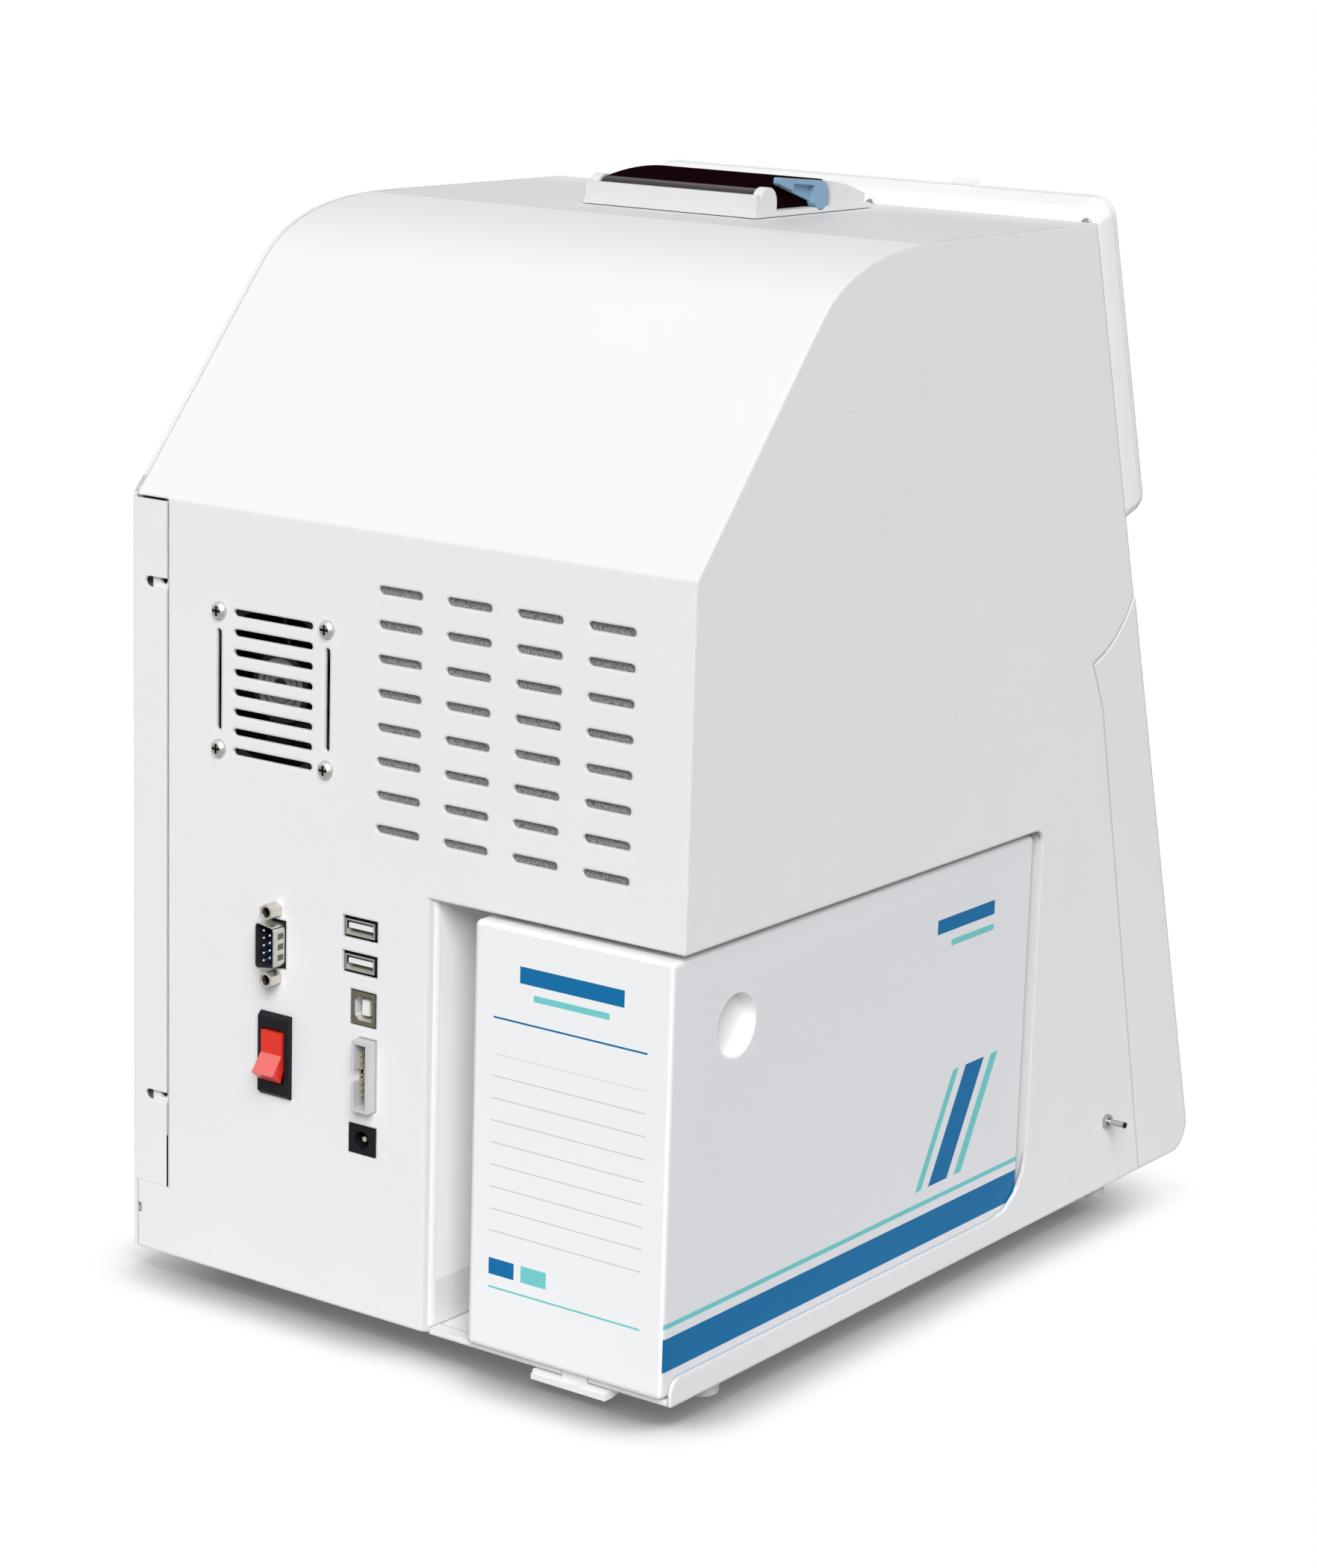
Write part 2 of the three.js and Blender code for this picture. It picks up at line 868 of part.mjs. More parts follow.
function mainBoardBody() {
  const { rear, front: far, chip, chipHeight, capRadius, capHeight } = mainBoard;
  const left = mainBoardLeft;
  const right = mainBoardRight;
  const foot = floor.bossHeight + gap;
  const top = foot + mainBoard.thick;
  const middle = (left + right) / 2;
  const centre = (rear + far) / 2;
  const body = box([left, rear, foot], [right, far, top]);
  const chips = [-1, 1].map((side) =>
    box(
      [middle + side * chip - chip / 2, centre - chip / 2, top - sheet / 2],
      [middle + side * chip + chip / 2, centre + chip / 2, top + chipHeight],
    ),
  );
  const caps = [1, 2, 3].map((step) =>
    rod(
      [left + step * 3 * capRadius, far - 3 * capRadius, top - sheet / 2],
      [left + step * 3 * capRadius, far - 3 * capRadius, top + capHeight],
      capRadius,
      12,
    ),
  );
  return joined(body, ...chips, ...caps);
}

function sideCoverBody() {
  const plate = acrossX(housingOutline(0), -halfWidth, -halfWidth + sideCover.plate);
  const low = box(
    [-halfWidth - overrun, -overrun, -overrun],
    [-halfWidth + overrun, baseDepth, sideCover.foot],
  );
  const flange = box(
    [-halfWidth, 0, sideCover.foot],
    [-halfWidth + sideCover.flangeWidth, sideCover.plate, sideCover.flangeTop],
  );
  const slots = [sideCover.upperSlot, sideCover.lowerSlot].map((z) =>
    slot(
      -halfWidth + sideCover.flangeWidth - sideCover.slotLength / 2 + sideCover.slotHeight / 2,
      z,
      sideCover.slotLength + sideCover.slotHeight,
      sideCover.slotHeight,
      -overrun,
      sideCover.plate + gap / 2,
    ),
  );
  return cut(joined(cut(plate, low), flange), ...slots);
}

// Front cover: an open-backed shell that tilts about the centre of its lower front bend
const frontCover = {
  wall: 2,
  bend: 10,
  seamGap: 0.8,
  proud: 1,
  curlRun: 8,
  armThick: 3,
  armTall: 8,
  armGap: 0.6,
  pinRadius: 2.5,
  pinLength: 6,
  windowWide: 34,
  windowFoot: 110,
  windowTop: 175,
  windowRadius: 6,
};
const frontLineDepth = frontCover.proud / Math.cos(frontLean);
const coverFront = baseDepth + frontLineDepth;
const coverAxis = {
  y: coverFront - frontCover.bend * (1 / Math.cos(frontLean) + Math.tan(frontLean)),
  z: frontCover.bend,
};

function frontCoverOutline() {
  const away = frontCover.seamGap;
  const toFront = frontLineDepth;
  return outline(
    [
      [seamFoot + away, 0],
      [coverFront, 0, frontCover.bend],
      [frontDepthAt(seam.top - away) + toFront, seam.top - away],
      ...coverBrow(away),
      [shoulderDepth + away, shoulderHeight],
    ],
    8,
  );
}

function coverBrow(away) {
  const brow = [frontDepthAt(seam.top), seam.top];
  const notch = [frontDepthAt(notchHeight) - seam.notchDepth, notchHeight];
  const bend = new THREE.Vector2((notch[0] + brow[0]) / 2 + seam.sag, (notch[1] + brow[1]) / 2 - seam.sag);
  const points = curve(new THREE.Vector2(...brow), bend, new THREE.Vector2(...notch), 4);
  return points.map(([y, z]) => [y + away, z - away]);
}

function frontCoverRoom() {
  const wall = frontCover.wall;
  const far = baseDepth / 2;
  const inFront = frontLineDepth - wall / Math.cos(frontLean);
  const curlEnd = coverAxis.y - frontCover.curlRun;
  const lean = THREE.MathUtils.radToDeg(frontLean);
  const behindFront = outline([
    [far, -overrun],
    [curlEnd, -overrun],
    [curlEnd, wall],
    ...arc(coverAxis.y, coverAxis.z, frontCover.bend - wall, -90, lean, 6),
    [frontDepthAt(seam.top) + inFront, seam.top],
    [far, seam.top],
  ]);
  const brow = coverBrow(frontCover.seamGap + wall);
  const belowBrow = outline([
    [far, -2 * overrun],
    [baseDepth, -2 * overrun],
    [baseDepth, brow[0][1]],
    ...brow,
    [far, brow[brow.length - 1][1]],
  ]);
  const span = [-halfWidth + wall, halfWidth - wall];
  return acrossX(behindFront, ...span).intersect(acrossX(belowBrow, ...span));
}

function frontCoverBody() {
  const shell = acrossX(frontCoverOutline(), -halfWidth, halfWidth);
  const wall = frontCover.wall;
  const windowMiddle = (frontCover.windowFoot + frontCover.windowTop) / 2;
  const windowTall = frontCover.windowTop - frontCover.windowFoot;
  const window = alongY(
    rectangle(0, windowMiddle, frontCover.windowWide, windowTall, frontCover.windowRadius, 4),
    shoulderDepth,
    baseDepth + overrun,
  );
  const inner = halfWidth - wall - frontCover.armGap - frontCover.armThick - frontCover.armGap;
  const notches = [-1, 1].map((side) => {
    const ends = [side * inner, side * (halfWidth - wall)].sort((a, b) => a - b);
    return box(
      [ends[0], coverAxis.y - 2 * frontCover.curlRun, -overrun],
      [ends[1], coverAxis.y + frontCover.bend / 2, coverAxis.z],
    );
  });
  const pins = [-1, 1].map((side) => {
    const root = side * (halfWidth - wall / 2);
    const tip = side * (halfWidth - wall - frontCover.pinLength);
    return rod([root, coverAxis.y, coverAxis.z], [tip, coverAxis.y, coverAxis.z], frontCover.pinRadius);
  });
  return joined(cut(shell, frontCoverRoom(), window, ...notches), ...pins);
}

// Arms on the floor plate that hold the cover's hinge pins
function coverHinge(name, side) {
  const inner = halfWidth - frontCover.wall - frontCover.armGap - frontCover.armThick;
  const outer = inner + frontCover.armThick;
  const eye = frontCover.pinRadius + gap;
  const [eyeFrom, eyeTo] = [-40, 120];
  const rear = seamFoot + sheet;
  const arm = outline([
    [rear, sheet + gap],
    [floorFront - sheet, sheet + gap],
    [coverAxis.y - eye, coverAxis.z - eye / 2],
    ...arc(coverAxis.y, coverAxis.z, eye + frontCover.wall, eyeFrom, eyeTo, 8),
    [floorFront - floor.hemDepth, coverAxis.z + frontCover.armTall],
    [rear, coverAxis.z + frontCover.armTall],
  ]);
  const x = side > 0 ? inner : -outer;
  const hole = rod(
    [x - overrun, coverAxis.y, coverAxis.z],
    [x + frontCover.armThick + overrun, coverAxis.y, coverAxis.z],
    eye,
  );
  piece(name, steel, cut(acrossX(arm, x, x + frontCover.armThick), hole));
}

// Touch-screen unit, drawn on the front face: y out of the face, z up it from the top edge
const screen = {
  x: 17,
  width: 207,
  tall: 128.5,
  rise: 3.5,
  backDepth: 16.5,
  backEdge: 7,
  corner: 8,
  depth: 21,
  frontEdge: 3,
  panelSideInset: 7.1,
  panelEndInset: 5.8,
  panelDeep: 6.5,
  shell: 2.5,
  ledge: 10,
  lip: 1.5,
  viewSideInset: 14.5,
  viewEndInset: 13.75,
  glassThick: 1.4,
  tabWide: 9.5,
  tabRise: 1.4,
  tabDeep: 3.5,
  tabOffset: 39.5,
};
const screenMiddle = screen.rise - screen.tall / 2;
const panelWide = screen.width - 2 * screen.panelSideInset;
const panelTall = screen.tall - 2 * screen.panelEndInset;
const viewWide = screen.width - 2 * screen.viewSideInset;
const viewTall = screen.tall - 2 * screen.viewEndInset;
const tabX = screen.x + screen.tabOffset;
const panelFront = screen.depth - screen.lip - screen.glassThick - 2 * gap;

function screenSlab(edge, from, to) {
  const shape = rectangle(
    screen.x,
    screenMiddle,
    screen.width - 2 * edge,
    screen.tall - 2 * edge,
    screen.corner - edge,
    4,
  );
  return alongY(shape, from, to, edge);
}

function screenRoom(wide, tall, from, to) {
  return box(
    [screen.x - wide / 2, from, screenMiddle - tall / 2],
    [screen.x + wide / 2, to, screenMiddle + tall / 2],
  );
}

function screenUnit() {
  const { width: wide, tall, depth, backDepth } = screen;
  const panelRear = panelFront - screen.panelDeep;
  const beyond = screenRoom(2 * wide, 2 * tall, backDepth, 2 * depth);
  const before = screenRoom(2 * wide, 2 * tall, -depth, backDepth + 2 * gap);
  const pocket = [panelWide + 2 * gap, panelTall + 2 * gap];
  const back = cut(
    screenSlab(screen.backEdge, gap, 2 * depth),
    beyond,
    screenRoom(...pocket, panelRear - gap, 2 * depth),
    screenRoom(panelWide - 2 * screen.ledge, panelTall - 2 * screen.ledge, screen.shell, 2 * depth),
  );
  const bezel = cut(
    screenSlab(screen.frontEdge, 0, depth),
    before,
    screenRoom(...pocket, 0, depth - screen.lip),
    screenRoom(viewWide, viewTall, 0, 2 * depth),
  );
  const tab = box(
    [tabX - screen.tabWide / 2, backDepth + 2 * gap, screen.rise - screen.lip],
    [tabX + screen.tabWide / 2, backDepth + screen.tabDeep, screen.rise + screen.tabRise],
  );
  const glassRear = panelFront + gap;
  piece("monitor_back", whitePlastic, back, front);
  piece("monitor_bezel", whitePlastic, joined(bezel, tab), front);
  piece("lcd_module", blackPlastic, screenRoom(panelWide, panelTall, panelRear, panelFront), front);
  piece(
    "touch_glass",
    darkGlass,
    screenRoom(panelWide, panelTall, glassRear, glassRear + screen.glassThick),
    front,
  );
}

// Printer base: a rim with a rear wall, two hinge posts and the cutter edge, over the paper bucket
const platenY = printer.rear + printer.platenDepth;
const platenZ = printerFloor + printer.platenHeight;
const headRear = platenY + printer.platen + gap;
const cheekRear = printer.rear + printer.lidFront + printer.slot;
const lidHalf = printer.width / 2 - printer.post - printer.lidSide;
const leverY = printer.rear + printer.leverDepth;
const leverZ = printerFloor + printer.leverHeight;
const rollY = printer.rear + printer.bucketRear + printer.wall + printer.rollRadius + 2 * gap;
const rollZ = printerFloor - printer.bucketDrop + printer.wall + printer.rollRadius + gap;

function printerSolids() {
  const { rear, rim, post, bucketWidth, wallHeight, cheekRun } = printer;
  const plate = box(
    [printerLeft - printer.rimOut, rear - printer.rimOut, printerFloor],
    [printerRight + printer.rimOut, rear + printer.depth, printerFloor + rim],
  );
  const rearWall = box(
    [printerLeft, rear, printerFloor],
    [printerRight, rear + printer.wallThick, printerFloor + wallHeight],
  );
  const bucketRear = rear + printer.bucketRear;
  const bucket = box(
    [printer.x - bucketWidth / 2, bucketRear, printerFloor - printer.bucketDrop],
    [printer.x + bucketWidth / 2, bucketRear + printer.bucketDepth, printerFloor + rim / 2],
  );
  const postOutline = outline([
    [rear, printerFloor],
    [hinge.y + printer.postRadius, printerFloor],
    ...arc(hinge.y, hinge.z, printer.postRadius, 0, 180, 12),
    [rear, hinge.z],
  ]);
  const cheekOutline = outline([
    [cheekRear, printerFloor],
    [cheekRear + cheekRun, printerFloor],
    [cheekRear + cheekRun, printerFloor + printer.cheekFoot],
    [cheekRear + printer.cheekShoulderRun, printerFloor + printer.cheekShoulder, rim],
    [cheekRear, printerFloor + printer.cheekTop],
  ]);
  const posts = [printerLeft, printerRight - post].map((x) => acrossX(postOutline, x, x + post));
  return joined(plate, rearWall, bucket, acrossX(cheekOutline, printerLeft, printerRight), ...posts);
}

function printerRooms() {
  const { x, rear, wall, post, rim, bucketRear, bucketDrop, headFoot, headTall } = printer;
  const above = printerFloor + printer.bucketDrop;
  const half = printer.bucketWidth / 2 - wall;
  const rollRoom = box(
    [x - half, rear + bucketRear + wall, printerFloor - bucketDrop + wall],
    [x + half, headRear, above],
  );
  const barrelWell = box(
    [printerLeft + post, rear + printer.wallThick, hinge.z - printer.barrel - gap],
    [printerRight - post, hinge.y + printer.barrel + gap, above],
  );
  const headHalf = printer.headWidth / 2 + gap;
  const headPocket = box(
    [x - headHalf, headRear - wall, printerFloor + headFoot - gap],
    [x + headHalf, headRear + printer.headThick + gap, printerFloor + headFoot + headTall + gap],
  );
  const leverSaddle = rod(
    [printerRight - post, leverY, leverZ],
    [printerRight + overrun, leverY, leverZ],
    printer.leverRadius + gap,
    24,
  );
  const eye = printer.pinRadius + gap;
  const leftEye = rod(
    [printerLeft + rim / 2, hinge.y, hinge.z],
    [printerLeft + post + gap, hinge.y, hinge.z],
    eye,
    12,
  );
  const rightEye = rod(
    [printerRight - post - gap, hinge.y, hinge.z],
    [printerRight - rim / 2, hinge.y, hinge.z],
    eye,
    12,
  );
  return [rollRoom, barrelWell, headPocket, leverSaddle, leftEye, rightEye];
}

function lidCrown(drop) {
  const { rear, lidFront, lidFrontTop, lidCrown: crown, lidCrownDepth } = printer;
  return curve(
    new THREE.Vector2(rear + lidFront, printerFloor + lidFrontTop - drop),
    new THREE.Vector2(rear + lidCrownDepth, printerFloor + crown - drop),
    new THREE.Vector2(hinge.y, hinge.z + printer.barrel - drop),
    10,
  );
}

// Lid: a barrel at the rear, an arched skin, and two skirts that carry the platen roller
function printerLid() {
  const { x, rear, lidFront, lidThick, lidSkirt, barrel, rim, pinRadius, pinLength } = printer;
  const skirtFoot = printerFloor + rim + gap;
  const front = rear + lidFront;
  const left = x - lidHalf;
  const right = x + lidHalf;
  const skin = acrossX(outline([[hinge.y, skirtFoot], [front, skirtFoot], ...lidCrown(0)]), left, right);
  const roll = rod([left, hinge.y, hinge.z], [right, hinge.y, hinge.z], barrel, 24);
  const under = acrossX(
    outline([
      [hinge.y, skirtFoot - overrun],
      [front, skirtFoot - overrun],
      ...lidCrown(lidThick),
    ]),
    left + lidSkirt,
    right - lidSkirt,
  );
  const behindFront = box(
    [left, hinge.y + barrel - gap, 0],
    [right, front - lidThick, 2 * height],
  );
  const belowLip = box(
    [left + lidSkirt, front - 2 * lidThick, skirtFoot - overrun],
    [right - lidSkirt, front + overrun, printerFloor + printer.lidLip],
  );
  const rollerHalf = printer.platenLength / 2 + gap;
  const rollerRoom = rod(
    [x - rollerHalf, platenY, platenZ],
    [x + rollerHalf, platenY, platenZ],
    printer.platen + gap,
    24,
  );
  const shaftHole = rod(
    [left - overrun, platenY, platenZ],
    [right + overrun, platenY, platenZ],
    pinRadius + gap,
    12,
  );
  const pins = rod(
    [left - pinLength, hinge.y, hinge.z],
    [right + pinLength, hinge.y, hinge.z],
    pinRadius,
    12,
  );
  const hollow = under.intersect(behindFront);
  return joined(cut(joined(skin, roll), hollow, belowLip, rollerRoom, shaftHole), pins);
}

function releaseLever() {
  const { leverRadius, leverReach, leverTipRise, leverTipThick, leverThick } = printer;
  const left = printerRight - leverThick;
  const tipY = leverY - leverReach;
  const tipZ = leverZ + leverTipRise;
  const disc = rod([left, leverY, leverZ], [printerRight, leverY, leverZ], leverRadius, 24);
  const arm = outline([
    [leverY - leverRadius / 2, leverZ - leverRadius / 2],
    [leverY, leverZ + leverRadius],
    [tipY, tipZ + leverTipThick / 2, leverTipThick / 3],
    [tipY, tipZ - leverTipThick / 2, leverTipThick / 3],
  ]);
  const { leverPocket, leverPocketFrom, leverPocketTo, leverPocketFoot } = printer;
  const pocket = outline([
    [leverY - leverPocketFrom, leverZ - leverPocketFoot],
    [leverY - leverPocketFrom, leverZ + printer.leverPocketNear],
    [leverY - leverPocketTo, leverZ + printer.leverPocketFar],
    [leverY - leverPocketTo, leverZ - leverPocketFoot],
  ]);
  return cut(
    disc.add(acrossX(arm, left, printerRight)),
    acrossX(pocket, printerRight - leverPocket, printerRight + overrun),
  );
}

function platenRoller() {
  const half = printer.platenLength / 2;
  const reach = lidHalf - gap;
  return joined(
    rod([printer.x - half, platenY, platenZ], [printer.x + half, platenY, platenZ], printer.platen, 24),
    rod(
      [printer.x - reach, platenY, platenZ],
      [printer.x + reach, platenY, platenZ],
      printer.pinRadius,
      12,
    ),
  );
}

function paperRoll() {
  const half = printer.rollWidth / 2;
  const ends = [
    [printer.x - half, rollY, rollZ],
    [printer.x + half, rollY, rollZ],
  ];
  const core = [
    [printer.x - half - gap, rollY, rollZ],
    [printer.x + half + gap, rollY, rollZ],
  ];
  return cut(rod(...ends, printer.rollRadius, 24), rod(...core, printer.rollCore, 16));
}

function printHead() {
  const half = printer.headWidth / 2;
  const foot = printerFloor + printer.headFoot;
  return box(
    [printer.x - half, headRear, foot],
    [printer.x + half, headRear + printer.headThick, foot + printer.headTall],
  );
}

// Fan: a square frame with a round bore and a motor plate on four struts, and its bladed rotor
const fanRear = sheet + gap;
const fanFront = fanRear + fan.depth;

function fanFrame() {
  const plate = alongY(
    rectangle(fan.x, fan.z, fan.size, fan.size, fan.struts, 3),
    fanRear,
    fanFront,
  );
  const through = [fanRear - overrun, fanFront + overrun];
  const bore = rod([fan.x, through[0], fan.z], [fan.x, through[1], fan.z], fan.bore, 32);
  const holes = fanScrewPlaces().map(([x, z]) =>
    rod([x, through[0], z], [x, through[1], z], fan.screwHole, 12),
  );
  const motorRear = fanFront - fan.struts;
  const reach = fan.bore + fan.wall;
  const half = fan.strutWidth / 2;
  const spans = [
    box([fan.x - reach, motorRear, fan.z - half], [fan.x + reach, fanFront, fan.z + half]),
    box([fan.x - half, motorRear, fan.z - reach], [fan.x + half, fanFront, fan.z + reach]),
  ];
  const motor = rod([fan.x, motorRear, fan.z], [fan.x, fanFront, fan.z], fan.hubRadius, 24);
  const shaft = rod([fan.x, fanRear + fan.wall * 2, fan.z], [fan.x, fanFront, fan.z], fan.shaft, 12);
  return joined(cut(plate, bore, ...holes), motor, shaft, ...spans);
}

function fanRotor() {
  const rear = fanRear + fan.wall * 2;
  const length = fan.bladeRadius - fan.hubRadius + fan.wall;
  const blades = [];
  for (let i = 0; i < fan.bladeCount; i++) {
    const blade = new THREE.BoxGeometry(length, fan.hubDepth - fan.struts, fan.wall);
    blade.rotateX(THREE.MathUtils.degToRad(fan.bladePitch));
    blade.translate(fan.hubRadius - fan.wall + length / 2, rear + fan.hubDepth / 2, 0);
    blade.rotateY((2 * Math.PI * i) / fan.bladeCount);
    blades.push(solid(blade.translate(fan.x, 0, fan.z)));
  }
  const hub = rod([fan.x, rear, fan.z], [fan.x, rear + fan.hubDepth, fan.z], fan.hubRadius, 24);
  const bore = rod(
    [fan.x, rear - overrun, fan.z],
    [fan.x, rear + fan.hubDepth + overrun, fan.z],
    fan.shaft + gap,
    12,
  );
  return cut(joined(hub, ...blades), bore);
}

function turned(profile, x, y, z, sides = 16) {
  const points = profile.map(([radius, along]) => new THREE.Vector2(radius, along));
  return solid(new THREE.LatheGeometry(points, sides).translate(x, y, z));
}

// Pan-head screw, drawn from the crown of its head inwards
function fanScrew([x, z]) {
  const { head, headHeight, shank } = fanScrewSizes;
  const profile = [
    [0, -headHeight],
    [head * headCrownShares.flat, -headHeight * headCrownShares.edge],
    [head * headCrownShares.shoulder, -headHeight * headCrownShares.side],
    [head, 0],
    [shank, 0],
    [shank, sheet + fan.depth - fan.struts],
    [0, sheet + fan.depth - fan.struts],
  ];
  const crossLong = head * headCrownShares.cross;
  const crossWide = shank / 3;
  const crossDeep = headHeight / 2;
  const recess = [
    [crossLong, crossWide],
    [crossWide, crossLong],
  ].map(([wide, tall]) =>
    box(
      [x - wide / 2, -gap - headHeight - overrun, z - tall / 2],
      [x + wide / 2, -gap - headHeight + crossDeep, z + tall / 2],
    ),
  );
  return cut(turned(profile, x, -gap / 2, z, 12), ...recess);
}

const fanScrewSizes = { head: 3.4, headHeight: 1.8, shank: 1.8 };
const headCrownShares = { flat: 0.6, edge: 0.96, shoulder: 0.93, side: 0.45, cross: 0.9 };

// Serial plug: a D-shaped shell on a flange, with its longer side to the left
function serialShape(inset) {
  const tall = serialTall / 2 - inset;
  const left = serial.x - serial.wide / 2 + inset;
  const right = serial.x + serial.wide / 2 - inset;
  const shortTall = tall - serial.slant;
  const corner = Math.max(serial.corner - inset, gap);
  return outline(
    [
      [left, serial.z - tall, corner],
      [right, serial.z - shortTall, corner],
      [right, serial.z + shortTall, corner],
      [left, serial.z + tall, corner],
    ],
    3,
  );
}

function serialShell() {
  const flangeRear = sheet + gap;
  const flangeFront = flangeRear + serial.flangeThick;
  const tube = alongY(serialShape(0), -serial.proud, flangeFront);
  const flange = alongY(
    rectangle(serial.x, serial.z, serial.flangeWide, serialFlangeTall, serial.corner, 3),
    flangeRear,
    flangeFront,
  );
  const screws = [-1, 1].map((side) => {
    const z = serial.z + (side * serial.screwPitch) / 2;
    return rod([serial.x, 0, z], [serial.x, overrun, z], serial.threadRadius + gap, 12);
  });
  const inside = alongY(serialShape(serial.wall), -serial.proud - overrun, flangeFront + overrun);
  return cut(joined(tube, flange), inside, ...screws);
}

function serialInsert() {
  const base = alongY(serialShape(serial.wall + gap), 0, socketBack);
  const behind = sheet + gap + serial.flangeThick + gap;
  const block = alongY(
    rectangle(serial.x, serial.z, serial.wide, serialTall, serial.corner, 3),
    behind,
    socketBack,
  );
  const pins = [];
  for (const [share, count] of serialRowShares) {
    for (let i = 0; i < count; i++) {
      const x = serial.x + share * serial.pinRowPitch;
      const z = serial.z + (i - (count - 1) / 2) * serial.pinPitch;
      pins.push(rod([x, -serial.pinLength, z], [x, sheet, z], serial.pinRadius, 6));
    }
  }
  return joined(base, block, ...pins);
}

const serialRowShares = [
  [-0.5, 5],
  [0.5, 4],
];

function jackScrew(side) {
  const z = serial.z + (side * serial.screwPitch) / 2;
  const radius = serial.hexAcross / Math.sqrt(3);
  const head = rod([serial.x, -serial.hexProud, z], [serial.x, -gap, z], radius, 6);
  const thread = rod([serial.x, -gap * 2, z], [serial.x, overrun, z], serial.threadRadius, 12);
  const tap = rod(
    [serial.x, -serial.hexProud - gap, z],
    [serial.x, serial.tapDepth - serial.hexProud, z],
    serial.tapRadius,
    12,
    serial.tapTip,
  );
  return cut(joined(head, thread), tap);
}

// Flat USB socket: a metal shell round a tongue
function usbFlatPort(z) {
  const { x, wide, tall, wall, tongueTall, tongueInset, tongueFloor } = usbFlat;
  const shell = box([x - wide / 2, 0, z - tall / 2], [x + wide / 2, socketBack, z + tall / 2]);
  const mouth = box(
    [x - wide / 2 + wall, -overrun, z - tall / 2 + wall],
    [x + wide / 2 - wall, socketBack - wall, z + tall / 2 - wall],
  );
  const tongue = box(
    [x - wide / 2 + 2 * wall, tongueInset, z + tall / 2 - wall - tongueFloor - tongueTall],
    [x + wide / 2 - 2 * wall, socketBack - wall / 2, z + tall / 2 - wall - tongueFloor],
  );
  return joined(cut(shell, mouth), tongue);
}

// Square USB socket, lying on its side: its opening has two cut corners at the left
function usbSquarePort() {
  const { x, z, wide, tall, wall, chamfer, tongueWide, tongueTall } = usbSquare;
  const shell = box([x - wide / 2, 0, z - tall / 2], [x + wide / 2, socketBack, z + tall / 2]);
  const left = x - wide / 2 + wall;
  const right = x + wide / 2 - wall;
  const foot = z - tall / 2 + wall;
  const top = z + tall / 2 - wall;
  const mouth = alongY(
    outline([
      [left + chamfer, foot],
      [right, foot],
      [right, top],
      [left + chamfer, top],
      [left, top - chamfer],
      [left, foot + chamfer],
    ]),
    -overrun,
    socketBack - wall,
  );
  const tongue = box(
    [x - tongueWide / 2, wall, z - tongueTall / 2],
    [x + tongueWide / 2, socketBack - wall / 2, z + tongueTall / 2],
  );
  return joined(cut(shell, mouth), tongue);
}

// Box header: two rows of square pins in a walled pocket with a key notch
function dataHeader() {
  const { x, z, wide, tall, wall, proud, pocket, notchTall, notchDeep } = header;
  const { pinPitch, pinHalf, pinDrop } = header;
  const body = box([x - wide / 2, -proud, z - tall / 2], [x + wide / 2, socketBack, z + tall / 2]);
  const room = box(
    [x - wide / 2 + wall, -proud - overrun, z - tall / 2 + wall],
    [x + wide / 2 - wall, pocket - proud, z + tall / 2 - wall],
  );
  const notch = box(
    [x - wide / 2 - overrun, -proud - overrun, z - notchTall / 2],
    [x - wide / 2 + 2 * wall, notchDeep - proud, z + notchTall / 2],
  );
  const pins = [];
  for (const side of [-1, 1]) {
    for (let i = 0; i < header.pinRows; i++) {
      const px = x + (side * pinPitch) / 2;
      const pz = z + (i - (header.pinRows - 1) / 2) * pinPitch;
      pins.push(
        box([px - pinHalf, pinDrop - proud, pz - pinHalf], [px + pinHalf, pocket, pz + pinHalf]),
      );
    }
  }
  return joined(cut(body, room, notch), ...pins);
}

function dcInlet() {
  const { x, z, wide, tall, proud, bore, pinRadius, boreDepth } = inlet;
  const front = -proud;
  const body = box([x - wide / 2, front, z - tall / 2], [x + wide / 2, socketBack, z + tall / 2]);
  const hole = rod([x, front - overrun, z], [x, front + boreDepth, z], bore, 24);
  const pin = rod([x, front + sheet, z], [x, front + boreDepth + sheet, z], pinRadius, 12);
  return joined(cut(body, hole), pin);
}

function ioBoardBody() {
  const { left, right, foot: low, top, thick, armLeft, armFoot } = ioBoard;
  const board = box([left, ioBoardFace, low], [right, ioBoardFace + thick, top]);
  const corner = box(
    [left - overrun, ioBoardFace - overrun, low - overrun],
    [armLeft, ioBoardFace + overrun, armFoot],
  );
  return cut(board, corner);
}

// Power switch: a bezel with its switch body, and a rocker on two trunnions
const rockerAxis = { y: -rocker.proud + rocker.axisIn, z: rocker.z };

